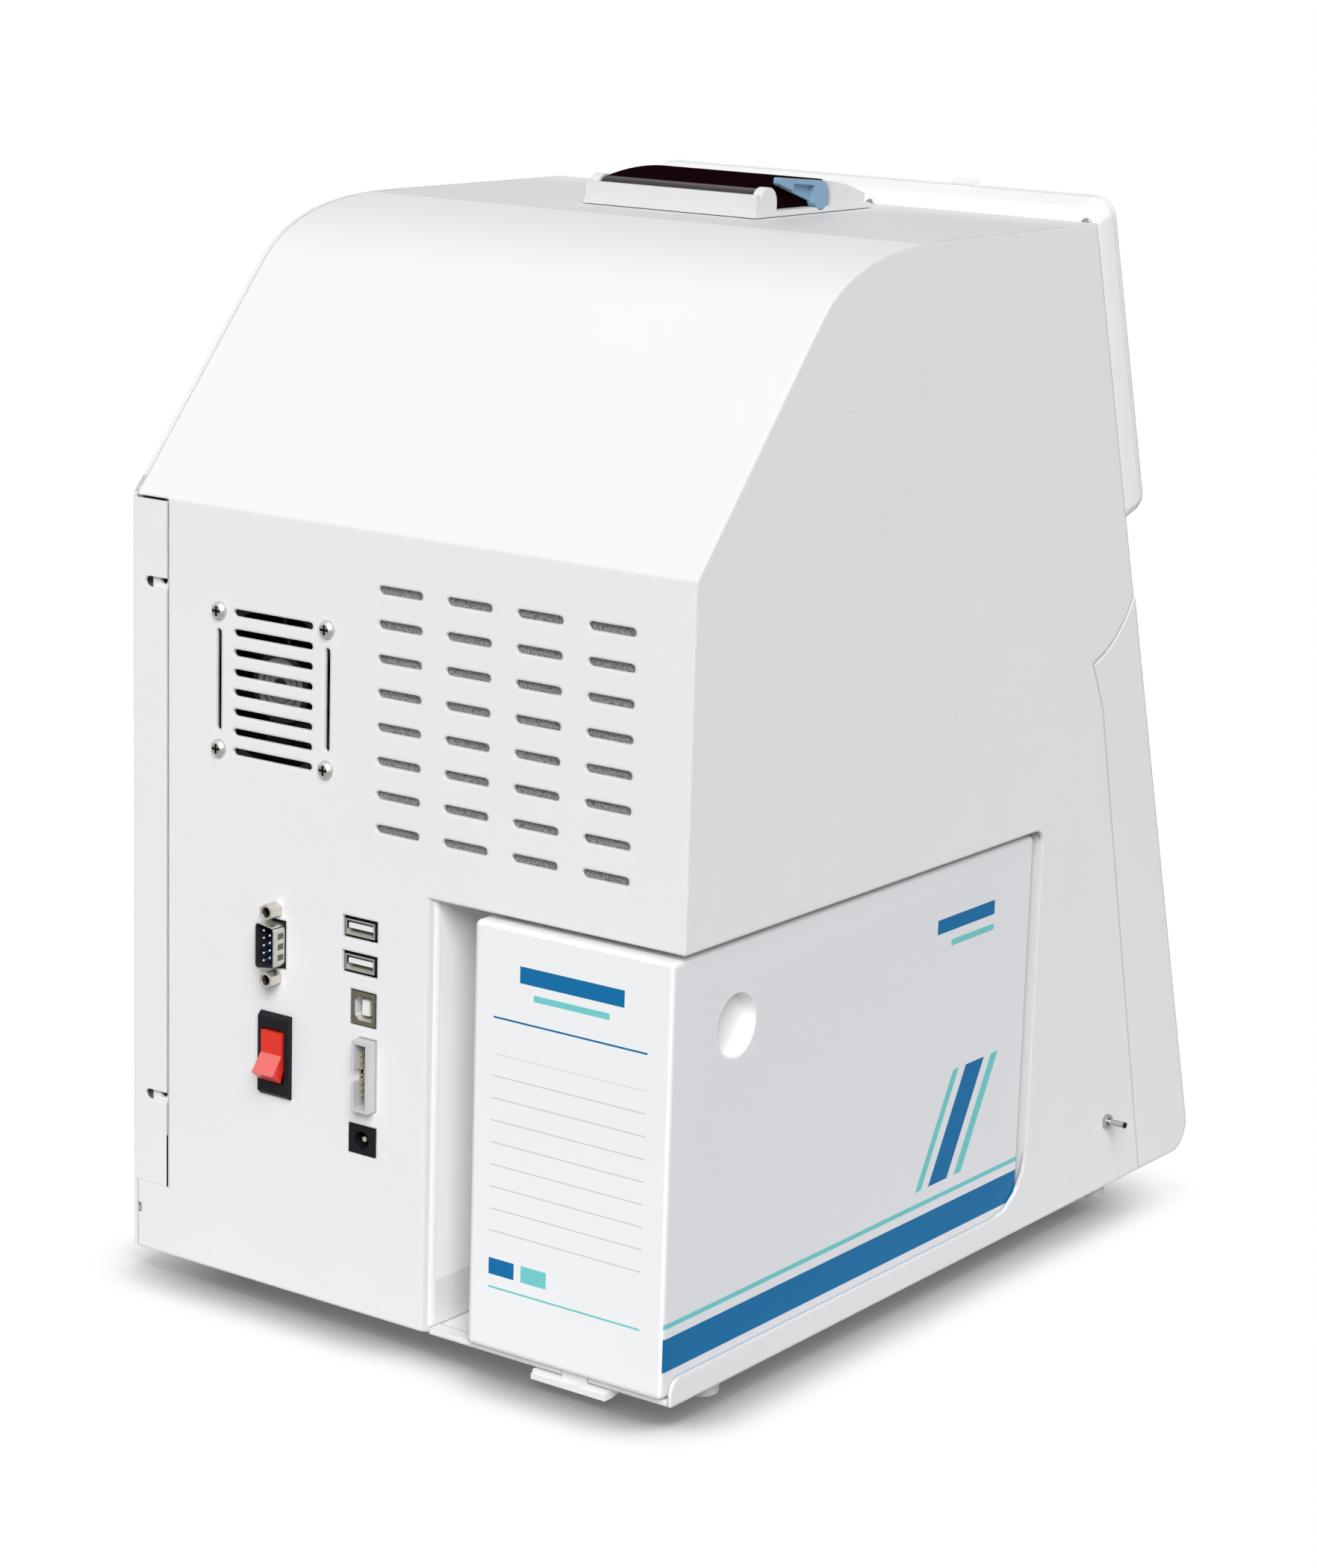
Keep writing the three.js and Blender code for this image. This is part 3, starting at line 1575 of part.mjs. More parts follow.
function switchBezel() {
  const { x, z, tall, wide, cutTall, cutWide, proud, chamfer, windowTall, windowWide } = rocker;
  const side = outline([
    [-gap / 2, z - tall / 2],
    [-gap / 2, z + tall / 2],
    [chamfer - proud, z + tall / 2],
    [-proud, z + tall / 2 - chamfer],
    [-proud, z - tall / 2 + chamfer],
    [chamfer - proud, z - tall / 2],
  ]);
  const frame = acrossX(side, x - wide / 2, x + wide / 2);
  const body = box([x - cutWide / 2, -proud / 2, z - cutTall / 2], [
    x + cutWide / 2,
    rocker.bodyDepth,
    z + cutTall / 2,
  ]);
  const window = box(
    [x - windowWide / 2, -proud - overrun, z - windowTall / 2],
    [x + windowWide / 2, rocker.windowDepth, z + windowTall / 2],
  );
  const eye = rod(
    [x - cutWide / 2 + gap, rockerAxis.y, z],
    [x + cutWide / 2 - gap, rockerAxis.y, z],
    rocker.pivotRadius + gap,
    12,
  );
  const blades = [-1, 0, 1].map((share) => {
    const bz = z + (share * windowTall) / 3;
    return box(
      [x - rocker.bladeWide / 2, rocker.bodyDepth - gap, bz - rocker.bladeThick / 2],
      [x + rocker.bladeWide / 2, rocker.bodyDepth + rocker.bladeLong, bz + rocker.bladeThick / 2],
    );
  });
  return joined(cut(joined(frame, body), window, eye), ...blades);
}

// Two flat faces with a valley between them, pressed in at the top
function powerRocker() {
  const { x, valleyOut, faceWide, faceLong, endDepth, cutWide } = rocker;
  const lean = THREE.MathUtils.degToRad(rocker.faceLean);
  const face = new THREE.Vector2(-faceLong * Math.sin(lean), faceLong * Math.cos(lean));
  const end = new THREE.Vector2(endDepth * Math.cos(lean), endDepth * Math.sin(lean));
  const faceEnd = [face.x - valleyOut, face.y];
  const backEnd = [faceEnd[0] + end.x, faceEnd[1] + end.y];
  const corners = [
    [-valleyOut, 0],
    faceEnd,
    backEnd,
    [backEnd[0], -backEnd[1]],
    [faceEnd[0], -faceEnd[1]],
  ].map(([y, z]) => {
    const corner = new THREE.Vector2(y, z).rotateAround(new THREE.Vector2(), -lean);
    return [rockerAxis.y + corner.x, rockerAxis.z + corner.y];
  });
  const body = acrossX(outline(corners), x - faceWide / 2, x + faceWide / 2);
  const trunnion = rod(
    [x - cutWide / 2 + 2 * gap, rockerAxis.y, rockerAxis.z],
    [x + cutWide / 2 - 2 * gap, rockerAxis.y, rockerAxis.z],
    rocker.pivotRadius,
    12,
  );
  return body.add(trunnion);
}

// Reagent pack: a moulded box with a finger dent near its rear edge and three ports at its inner end
function reagentPack() {
  const top = pack.foot + pack.height;
  const wide = pack.width - 2 * pack.edge;
  const tall = pack.height - 2 * pack.edge;
  const block = alongY(
    rectangle(packMiddle, (pack.foot + top) / 2, wide, tall, pack.corner, 3),
    -pack.proud,
    packFront,
    pack.edge,
    2,
  );
  const dentY = pack.dentFromRear - pack.proud;
  const dent = rod(
    [packRight - pack.dentDepth, dentY, pack.dentHeight],
    [packRight + overrun, dentY, pack.dentHeight],
    pack.dentRadius,
    24,
  );
  const ports = portShares.map((share) => {
    const x = packMiddle + share * pack.portPitch;
    return rod(
      [x, packFront - pack.portLength, pack.portHeight],
      [x, packFront + overrun, pack.portHeight],
      pack.portRadius,
      12,
    );
  });
  return cut(block, dent, ...ports);
}

function fluidCoupler() {
  const { width: wide, depth, tall, nozzleReach, hoseReach } = coupler;
  const rear = bay.depth + sheet + gap;
  const block = alongY(
    rectangle(packMiddle, pack.portHeight, wide, tall, nozzleReach / 2, 3),
    rear,
    rear + depth,
  );
  const nozzles = portShares.map((share) => {
    const x = packMiddle + share * pack.portPitch;
    return rod(
      [x, packFront - nozzleReach, pack.portHeight],
      [x, rear + depth + hoseReach, pack.portHeight],
      pack.portRadius - gap,
      12,
    );
  });
  const bores = portShares.map((share) => {
    const x = packMiddle + share * pack.portPitch;
    return rod(
      [x, packFront - nozzleReach - overrun, pack.portHeight],
      [x, rear + depth + hoseReach + overrun, pack.portHeight],
      pack.portRadius / 3,
      8,
    );
  });
  return cut(joined(block, ...nozzles), ...bores);
}

const coupler = { width: 60, depth: 14, tall: 26, nozzleReach: 8, hoseReach: 9 };

// Latch under the rear edge of the bay: a ledge with a raised block at each end and a tooth between
// them. It hangs on a pin between two ears of the floor plate.
const latch = {
  fromSide: 26,
  width: 32,
  rear: -2.4,
  blockRear: -1.4,
  blockWide: 11.5,
  ledge: 4.6,
  ledgeTop: -1.7,
  top: -0.5,
  foot: -3.8,
  thin: 2.2,
  axisDepth: 20,
  axisHeight: -3,
  pinRadius: 1.2,
  boss: 2.2,
  toothTop: 2.1,
  earThick: 1.5,
};

const latchRight = halfWidth - latch.fromSide;
const latchLeft = latchRight - latch.width;

function packLatch() {
  const { rear, blockRear, blockWide, ledge, ledgeTop, top, foot: low, thin } = latch;
  const { axisDepth, axisHeight } = latch;
  const left = latchLeft;
  const right = latchRight;
  const bar = outline([
    [rear, low],
    [rear + ledge, low],
    [rear + 2 * ledge, top - thin],
    [axisDepth, top - thin],
    [axisDepth, top],
    [rear + ledge, top],
    [rear + ledge, ledgeTop],
    [rear, ledgeTop],
  ]);
  const blocks = [left, right - blockWide].map((x) =>
    box([x, blockRear, (low + ledgeTop) / 2], [x + blockWide, rear + 2 * ledge, top]),
  );
  const tooth = box(
    [floorNotchLeft + gap, 0, (low + ledgeTop) / 2],
    [floorNotchLeft + floor.notchWidth - gap, floor.notchDepth - gap, latch.toothTop],
  );
  const boss = rod([left, axisDepth, axisHeight], [right, axisDepth, axisHeight], latch.boss, 16);
  const reach = latch.earThick + gap / 2;
  const pin = rod(
    [left - reach, axisDepth, axisHeight],
    [right + reach, axisDepth, axisHeight],
    latch.pinRadius,
    12,
  );
  return joined(acrossX(bar, left, right), ...blocks, tooth, boss, pin);
}

function latchEars() {
  const { axisDepth, axisHeight, boss, earThick } = latch;
  return [latchLeft - gap - earThick, latchRight + gap].map((x) => {
    const ear = box(
      [x, axisDepth - boss - gap, axisHeight - boss],
      [x + earThick, axisDepth + boss + gap, sheet / 2],
    );
    const eye = rod(
      [x - overrun, axisDepth, axisHeight],
      [x + earThick + overrun, axisDepth, axisHeight],
      latch.pinRadius + gap,
      12,
    );
    return ear.subtract(eye);
  });
}

// Drain nipple: a plain tube through the side panel, held by a flange inside and a nut outside
function drainNipple() {
  const { z, radius, bore: boreRadius, reach, inside } = nipple;
  const y = nippleY;
  const face = halfWidth - sheet - gap;
  const tube = rod([face - inside, y, z], [halfWidth + reach, y, z], radius, 16);
  const flange = rod([face - sheet, y, z], [face, y, z], 2 * radius, 16);
  const bore = rod(
    [face - inside - overrun, y, z],
    [halfWidth + reach + overrun, y, z],
    boreRadius,
    12,
  );
  return cut(joined(tube, flange), bore);
}

function nippleNut() {
  const { z, radius, hexAcross, nut } = nipple;
  const y = nippleY;
  const from = halfWidth + gap;
  const hex = rod([from, y, z], [from + nut, y, z], hexAcross / Math.sqrt(3), 6);
  return hex.subtract(rod([from - overrun, y, z], [from + nut + overrun, y, z], radius + gap, 16));
}

// Fluid parts behind the front cover, drawn on the seam wall: y out from it, z up it
const wallLean = Math.atan(seamRunShare);
const carrier = {
  fromSide: 45.5,
  foot: 30,
  wide: 44,
  back: 3,
  cheek: 4,
  depth: 22,
  lip: 3,
  cellTall: 24,
  cellWide: 35.4,
  cellDepth: 19,
  capRadius: 8.5,
  capTall: 5,
  portRadius: 1,
};
const pump = {
  fromSide: 47.5,
  z: 62,
  plate: 54,
  plateThick: 4,
  raceRadius: 25,
  raceInner: 22,
  raceDepth: 16,
  shaft: 4,
  corner: 6,
  rotorRadius: 16,
  rotorThick: 3,
  rollerRadius: 4.6,
  rollerPitch: 15,
  rollerCount: 3,
};
const valves = {
  z: 134,
  wide: 44,
  tall: 56,
  depth: 12,
  pinchRadius: 6.5,
  pinchTall: 8,
  pitch: 17,
  hoseRadius: 2.2,
  hoseReach: 8,
};
const probe = {
  x: 0,
  axisHeight: 178,
  axisDepth: 13,
  plateWide: 30,
  plateTall: 34,
  plateThick: 3,
  ear: 3,
  earDepth: 18,
  hubRadius: 5,
  pinRadius: 2,
  armWide: 18,
  armThick: 7,
  armLong: 26,
  needleRadius: 0.8,
  needleLong: 66,
  grip: 3,
};

const carrierX = -halfWidth + carrier.fromSide;
const pumpX = halfWidth - pump.fromSide;

function electrodeCarrier() {
  const x = carrierX;
  const { foot: low, wide, back, cheek, depth, lip, cellTall } = carrier;
  const tall = electrodeCount * (cellTall + gap) + 2 * cheek + gap;
  const left = x - wide / 2;
  const right = x + wide / 2;
  const block = box([left, gap, low], [right, gap + depth, low + tall]);
  const channel = box(
    [left + cheek, gap + back, low + cheek],
    [right - cheek, gap + depth + overrun, low + tall - cheek],
  );
  const window = box(
    [left + cheek + lip, -overrun, low + 2 * cheek],
    [right - cheek - lip, gap + back + overrun, low + tall - 2 * cheek],
  );
  return cut(block, channel, window);
}

const electrodeCount = 5;

// One electrode: a clear block with a round cap and a flow channel straight through it
function electrode(i) {
  const x = carrierX;
  const { foot: low, back, cheek, cellTall, cellWide, cellDepth, capRadius, capTall } = carrier;
  const from = low + cheek + gap + i * (cellTall + gap);
  const rear = back + 2 * gap;
  const cell = alongY(
    rectangle(x, from + cellTall / 2, cellWide, cellTall, cheek / 2, 2),
    rear,
    rear + cellDepth,
  );
  const middle = from + cellTall / 2;
  const cap = rod(
    [x, rear + cellDepth - gap, middle],
    [x, rear + cellDepth + capTall, middle],
    capRadius,
    20,
    capRadius - gap,
  );
  const channel = rod(
    [x, rear + cellDepth / 2, from - overrun],
    [x, rear + cellDepth / 2, from + cellTall + overrun],
    carrier.portRadius,
    8,
  );
  return cut(joined(cell, cap), channel);
}

// Peristaltic pump: a round race with a mouth below, and a rotor with three rollers
function pumpBody() {
  const x = pumpX;
  const { z, plate, plateThick, raceRadius, raceInner, raceDepth, shaft, corner } = pump;
  const base = alongY(rectangle(x, z, plate, plate, corner, 4), gap, gap + plateThick);
  const top = gap + plateThick + raceDepth;
  const race = rod([x, gap, z], [x, top, z], raceRadius, 28);
  const room = rod([x, gap + plateThick, z], [x, top + overrun, z], raceInner, 28);
  const mouth = box(
    [x - raceInner * pumpMouthShare, gap + plateThick, z - raceRadius - overrun],
    [x + raceInner * pumpMouthShare, top + overrun, z],
  );
  const spindle = rod([x, gap + plateThick / 2, z], [x, top, z], shaft, 16);
  return joined(cut(base.add(race), room, mouth), spindle);
}

const pumpMouthShare = 0.72;

function pumpRotor() {
  const x = pumpX;
  const { z, plateThick, raceDepth, rotorRadius, rotorThick, rollerRadius, rollerPitch } = pump;
  const rear = plateThick + 2 * gap;
  const front = gap + plateThick + raceDepth;
  const plates = [
    rod([x, rear, z], [x, rear + rotorThick, z], rotorRadius, 24),
    rod([x, front - rotorThick, z], [x, front, z], rotorRadius, 24),
  ];
  const hub = rod([x, rear, z], [x, front, z], pump.shaft * 2, 20);
  const rollers = [];
  for (let i = 0; i < pump.rollerCount; i++) {
    const angle = (2 * Math.PI * i) / pump.rollerCount;
    const rx = x + rollerPitch * Math.cos(angle);
    const rz = z + rollerPitch * Math.sin(angle);
    rollers.push(rod([rx, rear + gap, rz], [rx, front - gap, rz], rollerRadius, 16));
  }
  const bore = rod([x, -overrun, z], [x, front + overrun, z], pump.shaft + gap, 16);
  return cut(joined(...plates, hub, ...rollers), bore);
}

function valveBlock() {
  const x = pumpX;
  const { z, wide, tall, depth, pinchRadius, pinchTall, pitch, hoseRadius, hoseReach } = valves;
  const block = alongY(rectangle(x, z, wide, tall, hoseRadius, 3), gap, gap + depth);
  const pinches = [-1, 0, 1].map((share) =>
    rod(
      [x, gap + depth / 2, z + share * pitch],
      [x, gap + depth + pinchTall, z + share * pitch],
      pinchRadius,
      16,
    ),
  );
  const hoses = [-1, 0, 1].map((share) =>
    rod(
      [x - wide / 2 - hoseReach, gap + depth / 2, z + share * pitch],
      [x, gap + depth / 2, z + share * pitch],
      hoseRadius,
      8,
    ),
  );
  return joined(block, ...pinches, ...hoses);
}

// Sample probe: a needle in an arm that swings out through the window of the cover
function probeMount() {
  const { x, axisHeight, axisDepth, plateWide, plateTall, plateThick, ear, earDepth } = probe;
  const plate = box(
    [x - plateWide / 2, gap, axisHeight - plateTall / 2],
    [x + plateWide / 2, gap + plateThick, axisHeight + plateTall / 2],
  );
  const ears = [x - plateWide / 2, x + plateWide / 2 - ear].map((left) =>
    acrossX(
      outline([
        [gap, axisHeight - plateTall / 3],
        [axisDepth, axisHeight - probe.hubRadius, ear],
        [gap + earDepth, axisHeight, ear],
        [axisDepth, axisHeight + probe.hubRadius, ear],
        [gap, axisHeight + plateTall / 3],
      ]),
      left,
      left + ear,
    ),
  );
  const eye = rod(
    [x - plateWide, axisDepth, axisHeight],
    [x + plateWide, axisDepth, axisHeight],
    probe.pinRadius + gap,
    12,
  );
  return cut(joined(plate, ...ears), eye);
}

function sampleProbe() {
  const { x, axisHeight, axisDepth, plateWide, hubRadius, pinRadius, armWide, armThick } = probe;
  const { armLong, needleRadius, needleLong, grip } = probe;
  const hub = rod(
    [x - armWide / 2, axisDepth, axisHeight],
    [x + armWide / 2, axisDepth, axisHeight],
    hubRadius,
    20,
  );
  const pin = rod(
    [x - plateWide / 2, axisDepth, axisHeight],
    [x + plateWide / 2, axisDepth, axisHeight],
    pinRadius,
    12,
  );
  const arm = box(
    [x - armWide / 2, axisDepth - armThick / 2, axisHeight - armLong],
    [x + armWide / 2, axisDepth + armThick / 2, axisHeight],
  );
  const handle = box(
    [x - armWide / 2, axisDepth, axisHeight - armLong],
    [x + armWide / 2, axisDepth + armThick / 2 + grip, axisHeight - armLong + grip],
  );
  const needle = rod(
    [x, axisDepth, axisHeight - armLong / 2],
    [x, axisDepth, axisHeight - needleLong],
    needleRadius,
    10,
  );
  return joined(hub, pin, arm, handle, needle);
}

// The pieces, from the floor up
piece("base_tray", whiteCoat, joined(baseTray(), ...latchEars()));
foot("foot_front_left", halfWidth - feet.inset, feetFront);
foot("foot_front_right", -halfWidth + feet.inset, feetFront);
foot("foot_rear_left", halfWidth - feet.inset, feet.rearInset);
foot("foot_rear_right", -halfWidth + feet.inset, feet.rearInset);
piece("housing_shell", whiteCoat, housingShell());
piece("side_cover", whiteCoat, sideCoverBody());
piece("front_cover", whiteCoat, frontCoverBody());
coverHinge("cover_hinge_left", 1);
coverHinge("cover_hinge_right", -1);

piece("vent_filter", greyFoam, ventFilter());
piece("fan_frame", blackPlastic, fanFrame());
piece("fan_rotor", blackPlastic, fanRotor());
fanScrewPlaces().forEach((place, i) => piece(`fan_screw_${i + 1}`, steel, fanScrew(place)));
piece("serial_shell", nickel, serialShell());
piece("serial_insert", blackPlastic, serialInsert());
piece("jack_screw_upper", nickel, jackScrew(1));
piece("jack_screw_lower", nickel, jackScrew(-1));
piece("usb_port_upper", steel, usbFlatPort(usbFlat.upper));
piece("usb_port_lower", steel, usbFlatPort(usbFlat.lower));
piece("usb_b_port", nickel, usbSquarePort());
piece("data_header", lightPlastic, dataHeader());
piece("dc_jack", blackPlastic, dcInlet());
piece("io_board", greenBoard, ioBoardBody());
piece("switch_bezel", blackPlastic, switchBezel());
piece("power_rocker", redRocker, powerRocker());
piece("main_board", greenBoard, mainBoardBody());

piece("reagent_pack", packPlastic, reagentPack());
piece("fluid_coupler", lightPlastic, fluidCoupler());
piece("pack_latch", whitePlastic, packLatch());
piece("drain_nipple", steel, drainNipple());
piece("nipple_nut", steel, nippleNut());

piece("printer_base", whitePlastic, cut(printerSolids(), ...printerRooms()));
piece("printer_lid", darkLid, printerLid());
piece("release_lever", blueLever, releaseLever());
piece("platen_roller", rubber, platenRoller());
piece("paper_roll", paper, paperRoll());
piece("print_head", lightPlastic, printHead());

screenUnit();
front.position.set(0, topDepth, height);
front.rotation.x = frontLean;

piece("electrode_carrier", lightPlastic, electrodeCarrier(), fluidics);
for (let i = 0; i < electrodeCount; i++) {
  piece(`electrode_${i + 1}`, i === 0 ? electrodeAmber : clearAcrylic, electrode(i), fluidics);
}
piece("pump_body", whitePlastic, pumpBody(), fluidics);
piece("pump_rotor", lightPlastic, pumpRotor(), fluidics);
piece("valve_block", clearAcrylic, valveBlock(), fluidics);
piece("probe_mount", whitePlastic, probeMount(), fluidics);
piece("sample_probe", steel, sampleProbe(), fluidics);
fluidics.position.set(0, seamFoot, 0);
fluidics.rotation.x = wallLean;

// Turned so that the screen faces -Y, standing on its feet, centred over the origin
analyzer.rotation.z = Math.PI;
analyzer.updateMatrixWorld(true);
const reach = new THREE.Box3().setFromObject(analyzer, true);
const middle = reach.getCenter(new THREE.Vector3());
analyzer.position.set(-middle.x, -middle.y, -reach.min.z);

export default analyzer;
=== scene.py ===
import math
import bmesh
import bpy
from mathutils import Matrix, Vector
from mathutils.geometry import convex_hull_2d


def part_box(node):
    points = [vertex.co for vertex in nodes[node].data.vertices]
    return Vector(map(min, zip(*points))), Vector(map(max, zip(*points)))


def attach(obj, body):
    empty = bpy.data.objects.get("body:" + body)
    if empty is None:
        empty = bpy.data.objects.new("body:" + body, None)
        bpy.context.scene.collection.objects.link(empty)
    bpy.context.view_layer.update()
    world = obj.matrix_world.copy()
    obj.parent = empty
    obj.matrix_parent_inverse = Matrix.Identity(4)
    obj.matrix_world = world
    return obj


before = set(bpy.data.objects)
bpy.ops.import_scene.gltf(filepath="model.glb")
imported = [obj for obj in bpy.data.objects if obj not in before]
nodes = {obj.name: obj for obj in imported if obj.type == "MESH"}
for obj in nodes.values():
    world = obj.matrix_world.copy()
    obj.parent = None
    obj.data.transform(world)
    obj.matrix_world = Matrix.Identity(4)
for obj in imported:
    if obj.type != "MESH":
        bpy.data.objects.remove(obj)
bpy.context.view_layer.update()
MM = 0.001

# Camera
# It stands behind the unit on the side of the reagent pack, a little above it, as the photographer did.
# Its place, turn and lens are those at which the drawn corners fall on the photographed ones.
frame_height = 2100
focal_pixels = 5206.8
sensor_size = 36
camera_place = (-0.82409, 1.18836, 0.51703)
camera_heading = math.radians(215.3985)
camera_tilt = math.radians(76.6235)
camera_roll = math.radians(1.7447)

camera_data = bpy.data.cameras.new("camera")
camera_data.sensor_width = sensor_size
camera_data.lens = focal_pixels * sensor_size / frame_height
camera = bpy.data.objects.new("camera", camera_data)
bpy.context.scene.collection.objects.link(camera)
camera_turn = (
    Matrix.Rotation(camera_heading, 4, "Z")
    @ Matrix.Rotation(camera_tilt, 4, "X")
    @ Matrix.Rotation(camera_roll, 4, "Z")
)
camera.matrix_world = Matrix.Translation(camera_place) @ camera_turn
bpy.context.scene.camera = camera
bpy.context.scene.view_settings.view_transform = "Standard"


# Finishes
# A Finish is one material. Its node method adds a shader node, and what a node gives can be used in sums
# and comparisons as if it were a number. Patterns lie on the object's own coordinates, in metres.
class Value:
    def __init__(self, finish, socket):
        self.finish = finish
        self.socket = socket

    def maths(self, operation, *values):
        return self.finish.node("ShaderNodeMath", {"operation": operation}, dict(enumerate(values)))

    def __add__(self, other):
        return self.maths("ADD", self, other)

    def __radd__(self, other):
        return self.maths("ADD", other, self)

    def __sub__(self, other):
        return self.maths("SUBTRACT", self, other)

    def __rsub__(self, other):
        return self.maths("SUBTRACT", other, self)

    def __mul__(self, other):
        return self.maths("MULTIPLY", self, other)

    def __rmul__(self, other):
        return self.maths("MULTIPLY", other, self)

    def __truediv__(self, other):
        return self.maths("DIVIDE", self, other)

    def __gt__(self, other):
        return self.maths("GREATER_THAN", self, other)

    def __lt__(self, other):
        return self.maths("LESS_THAN", self, other)

    def within(self, low, high):
        return (self > low) * (self < high)

    def away(self, middle):
        return self.maths("ABSOLUTE", self - middle)

    def either(self, other):
        return self.maths("MAXIMUM", self, other)


class Finish:
    def __init__(self, name, **sockets):
        self.material = bpy.data.materials.new(name)
        self.material.use_nodes = True
        self.tree = self.material.node_tree
        self.shader = self.tree.nodes["Principled BSDF"]
        self.place = self.node("ShaderNodeTexCoord", output="Object")
        parts = self.node("ShaderNodeSeparateXYZ", inputs={0: self.place}).socket.node.outputs
        self.x, self.y, self.z = [Value(self, part) for part in parts]
        self.set(**sockets)

    def node(self, kind, settings=None, inputs=None, output=0):
        made = self.tree.nodes.new(kind)
        for name, value in (settings or {}).items():
            if name == "stops":
                first, last = made.color_ramp.elements
                first.position, first.color = value[0]
                last.position, last.color = value[-1]
                for position, color in value[1:-1]:
                    made.color_ramp.elements.new(position).color = color
            else:
                setattr(made, name, value)
        for name, value in (inputs or {}).items():
            self.feed(made.inputs[name], value)
        return Value(self, made.outputs[output])

    def feed(self, socket, value):
        if isinstance(value, Value):
            self.tree.links.new(value.socket, socket)
        else:
            socket.default_value = value

    def set(self, **sockets):
        for name, value in sockets.items():
            socket = self.shader.inputs[name.replace("_", " ").title().replace("Ior", "IOR")]
            self.feed(socket, (*value, 1) if isinstance(value, tuple) else value)

    def noise(self, scale, detail=2.0, rough=0.5, place=None):
        inputs = {"Vector": place or self.place, "Scale": scale, "Detail": detail, "Roughness": rough}
        return self.node("ShaderNodeTexNoise", inputs=inputs)

    def cells(self, scale, output="Distance", place=None):
        inputs = {"Vector": place or self.place, "Scale": scale}
        return self.node("ShaderNodeTexVoronoi", inputs=inputs, output=output)

    def stretched(self, x=1.0, y=1.0, z=1.0):
        return self.node("ShaderNodeMapping", inputs={"Vector": self.place, "Scale": (x, y, z)})

    def inside(self, low, high):
        x, y, z = [axis.within(a, b) for axis, a, b in zip((self.x, self.y, self.z), low, high)]
        return x * y * z

    def ripple(self, value, pitch):
        return self.node("ShaderNodeMath", {"operation": "PINGPONG"}, {0: value, 1: pitch / 2})

    def reach(self, a, b):
        offset = self.node("ShaderNodeCombineXYZ", inputs={0: a, 1: b})
        return self.node("ShaderNodeVectorMath", {"operation": "LENGTH"}, {0: offset}, output="Value")

    def fade(self, value, start, end):
        settings = {"interpolation_type": "SMOOTHSTEP"}
        return self.node("ShaderNodeMapRange", settings, {0: value, 1: start, 2: end})

    def mix(self, factor, low, high):
        low, high = [(*c, 1) if isinstance(c, tuple) else c for c in (low, high)]
        settings = {"data_type": "RGBA", "clamp_factor": True}
        return self.node("ShaderNodeMix", settings, {0: factor, 6: low, 7: high}, output=2)

    def relief(self, height, depth, edge=0.0):
        inputs = {"Height": height, "Distance": depth, "Strength": 1.0}
        if edge:
            inputs["Normal"] = self.node("ShaderNodeBevel", {"samples": 4}, {"Radius": edge})
        self.set(normal=self.node("ShaderNodeBump", inputs=inputs))

    def dress(self, *names):
        for name in names:
            for place in nodes[name].material_slots:
                place.material = self.material


# Studio
# A broad lamp behind the unit on the pack's side faces the slope, and a level one lights the front and the
# far side without glare. A dim sky and a white floor card fill the rest. The camera sees the card as plain
# white with a shadow close round the unit, which dies away under the front and at the far rear corner.
sun_from = (-0.545, 0.715, 0.73)
sun_strength = 3.64
sun_angle = math.radians(38)
fill_from = (0.5, -0.86, 0.03)
fill_strength = 2.5
fill_angle = math.radians(10)
sky_dim = 0.1
sky_bright = 1.0
card_albedo = 0.6
card_half = 20
shadow_reach = 0.035
shadow_samples = 24
shadow_dark = 0.085
shadow_strength = 0.96
shadow_far_end = (190 * MM, 80 * MM)
shadow_front_end = (-175 * MM, -100 * MM)
shadow_stops = [(0.0, 0.0), (0.17, 0.05), (0.5, 0.17), (0.7, 0.5), (0.84, 0.86), (0.92, 1.0)]

world = bpy.data.worlds.new("studio")
bpy.context.scene.world = world
world.use_nodes = True
sky = world.node_tree.nodes["Background"]
sky_path = world.node_tree.nodes.new("ShaderNodeLightPath")
sky_seen = world.node_tree.nodes.new("ShaderNodeMath")
sky_seen.operation = "ADD"
sky_level = world.node_tree.nodes.new("ShaderNodeMapRange")
sky_level.inputs["To Min"].default_value = sky_dim
sky_level.inputs["To Max"].default_value = sky_bright
world.node_tree.links.new(sky_path.outputs["Is Camera Ray"], sky_seen.inputs[0])
world.node_tree.links.new(sky_path.outputs["Is Glossy Ray"], sky_seen.inputs[1])
world.node_tree.links.new(sky_seen.outputs[0], sky_level.inputs["Value"])
world.node_tree.links.new(sky_level.outputs[0], sky.inputs["Strength"])
sky.inputs["Color"].default_value = (1, 1, 1, 1)

for lamp, came_from, strength, angle in (
    ("key", sun_from, sun_strength, sun_angle),
    ("fill", fill_from, fill_strength, fill_angle),
):
    lamp_data = bpy.data.lights.new(lamp, "SUN")
    lamp_data.energy = strength
    lamp_data.angle = angle
    lamp_object = bpy.data.objects.new(lamp, lamp_data)
    bpy.context.scene.collection.objects.link(lamp_object)
    lamp_object.rotation_euler = Vector(came_from).to_track_quat("Z", "Y").to_euler()
    lamp_object.visible_glossy = lamp == "key"

card_mesh = bmesh.new()
bmesh.ops.create_grid(card_mesh, x_segments=1, y_segments=1, size=card_half)
card_data = bpy.data.meshes.new("floor_card")
card_mesh.to_mesh(card_data)
floor_card = bpy.data.objects.new("floor_card", card_data)
bpy.context.scene.collection.objects.link(floor_card)

card = Finish("card", roughness=1.0, specular_ior_level=0.0, base_color=(card_albedo,) * 3)
card_data.materials.append(card.material)


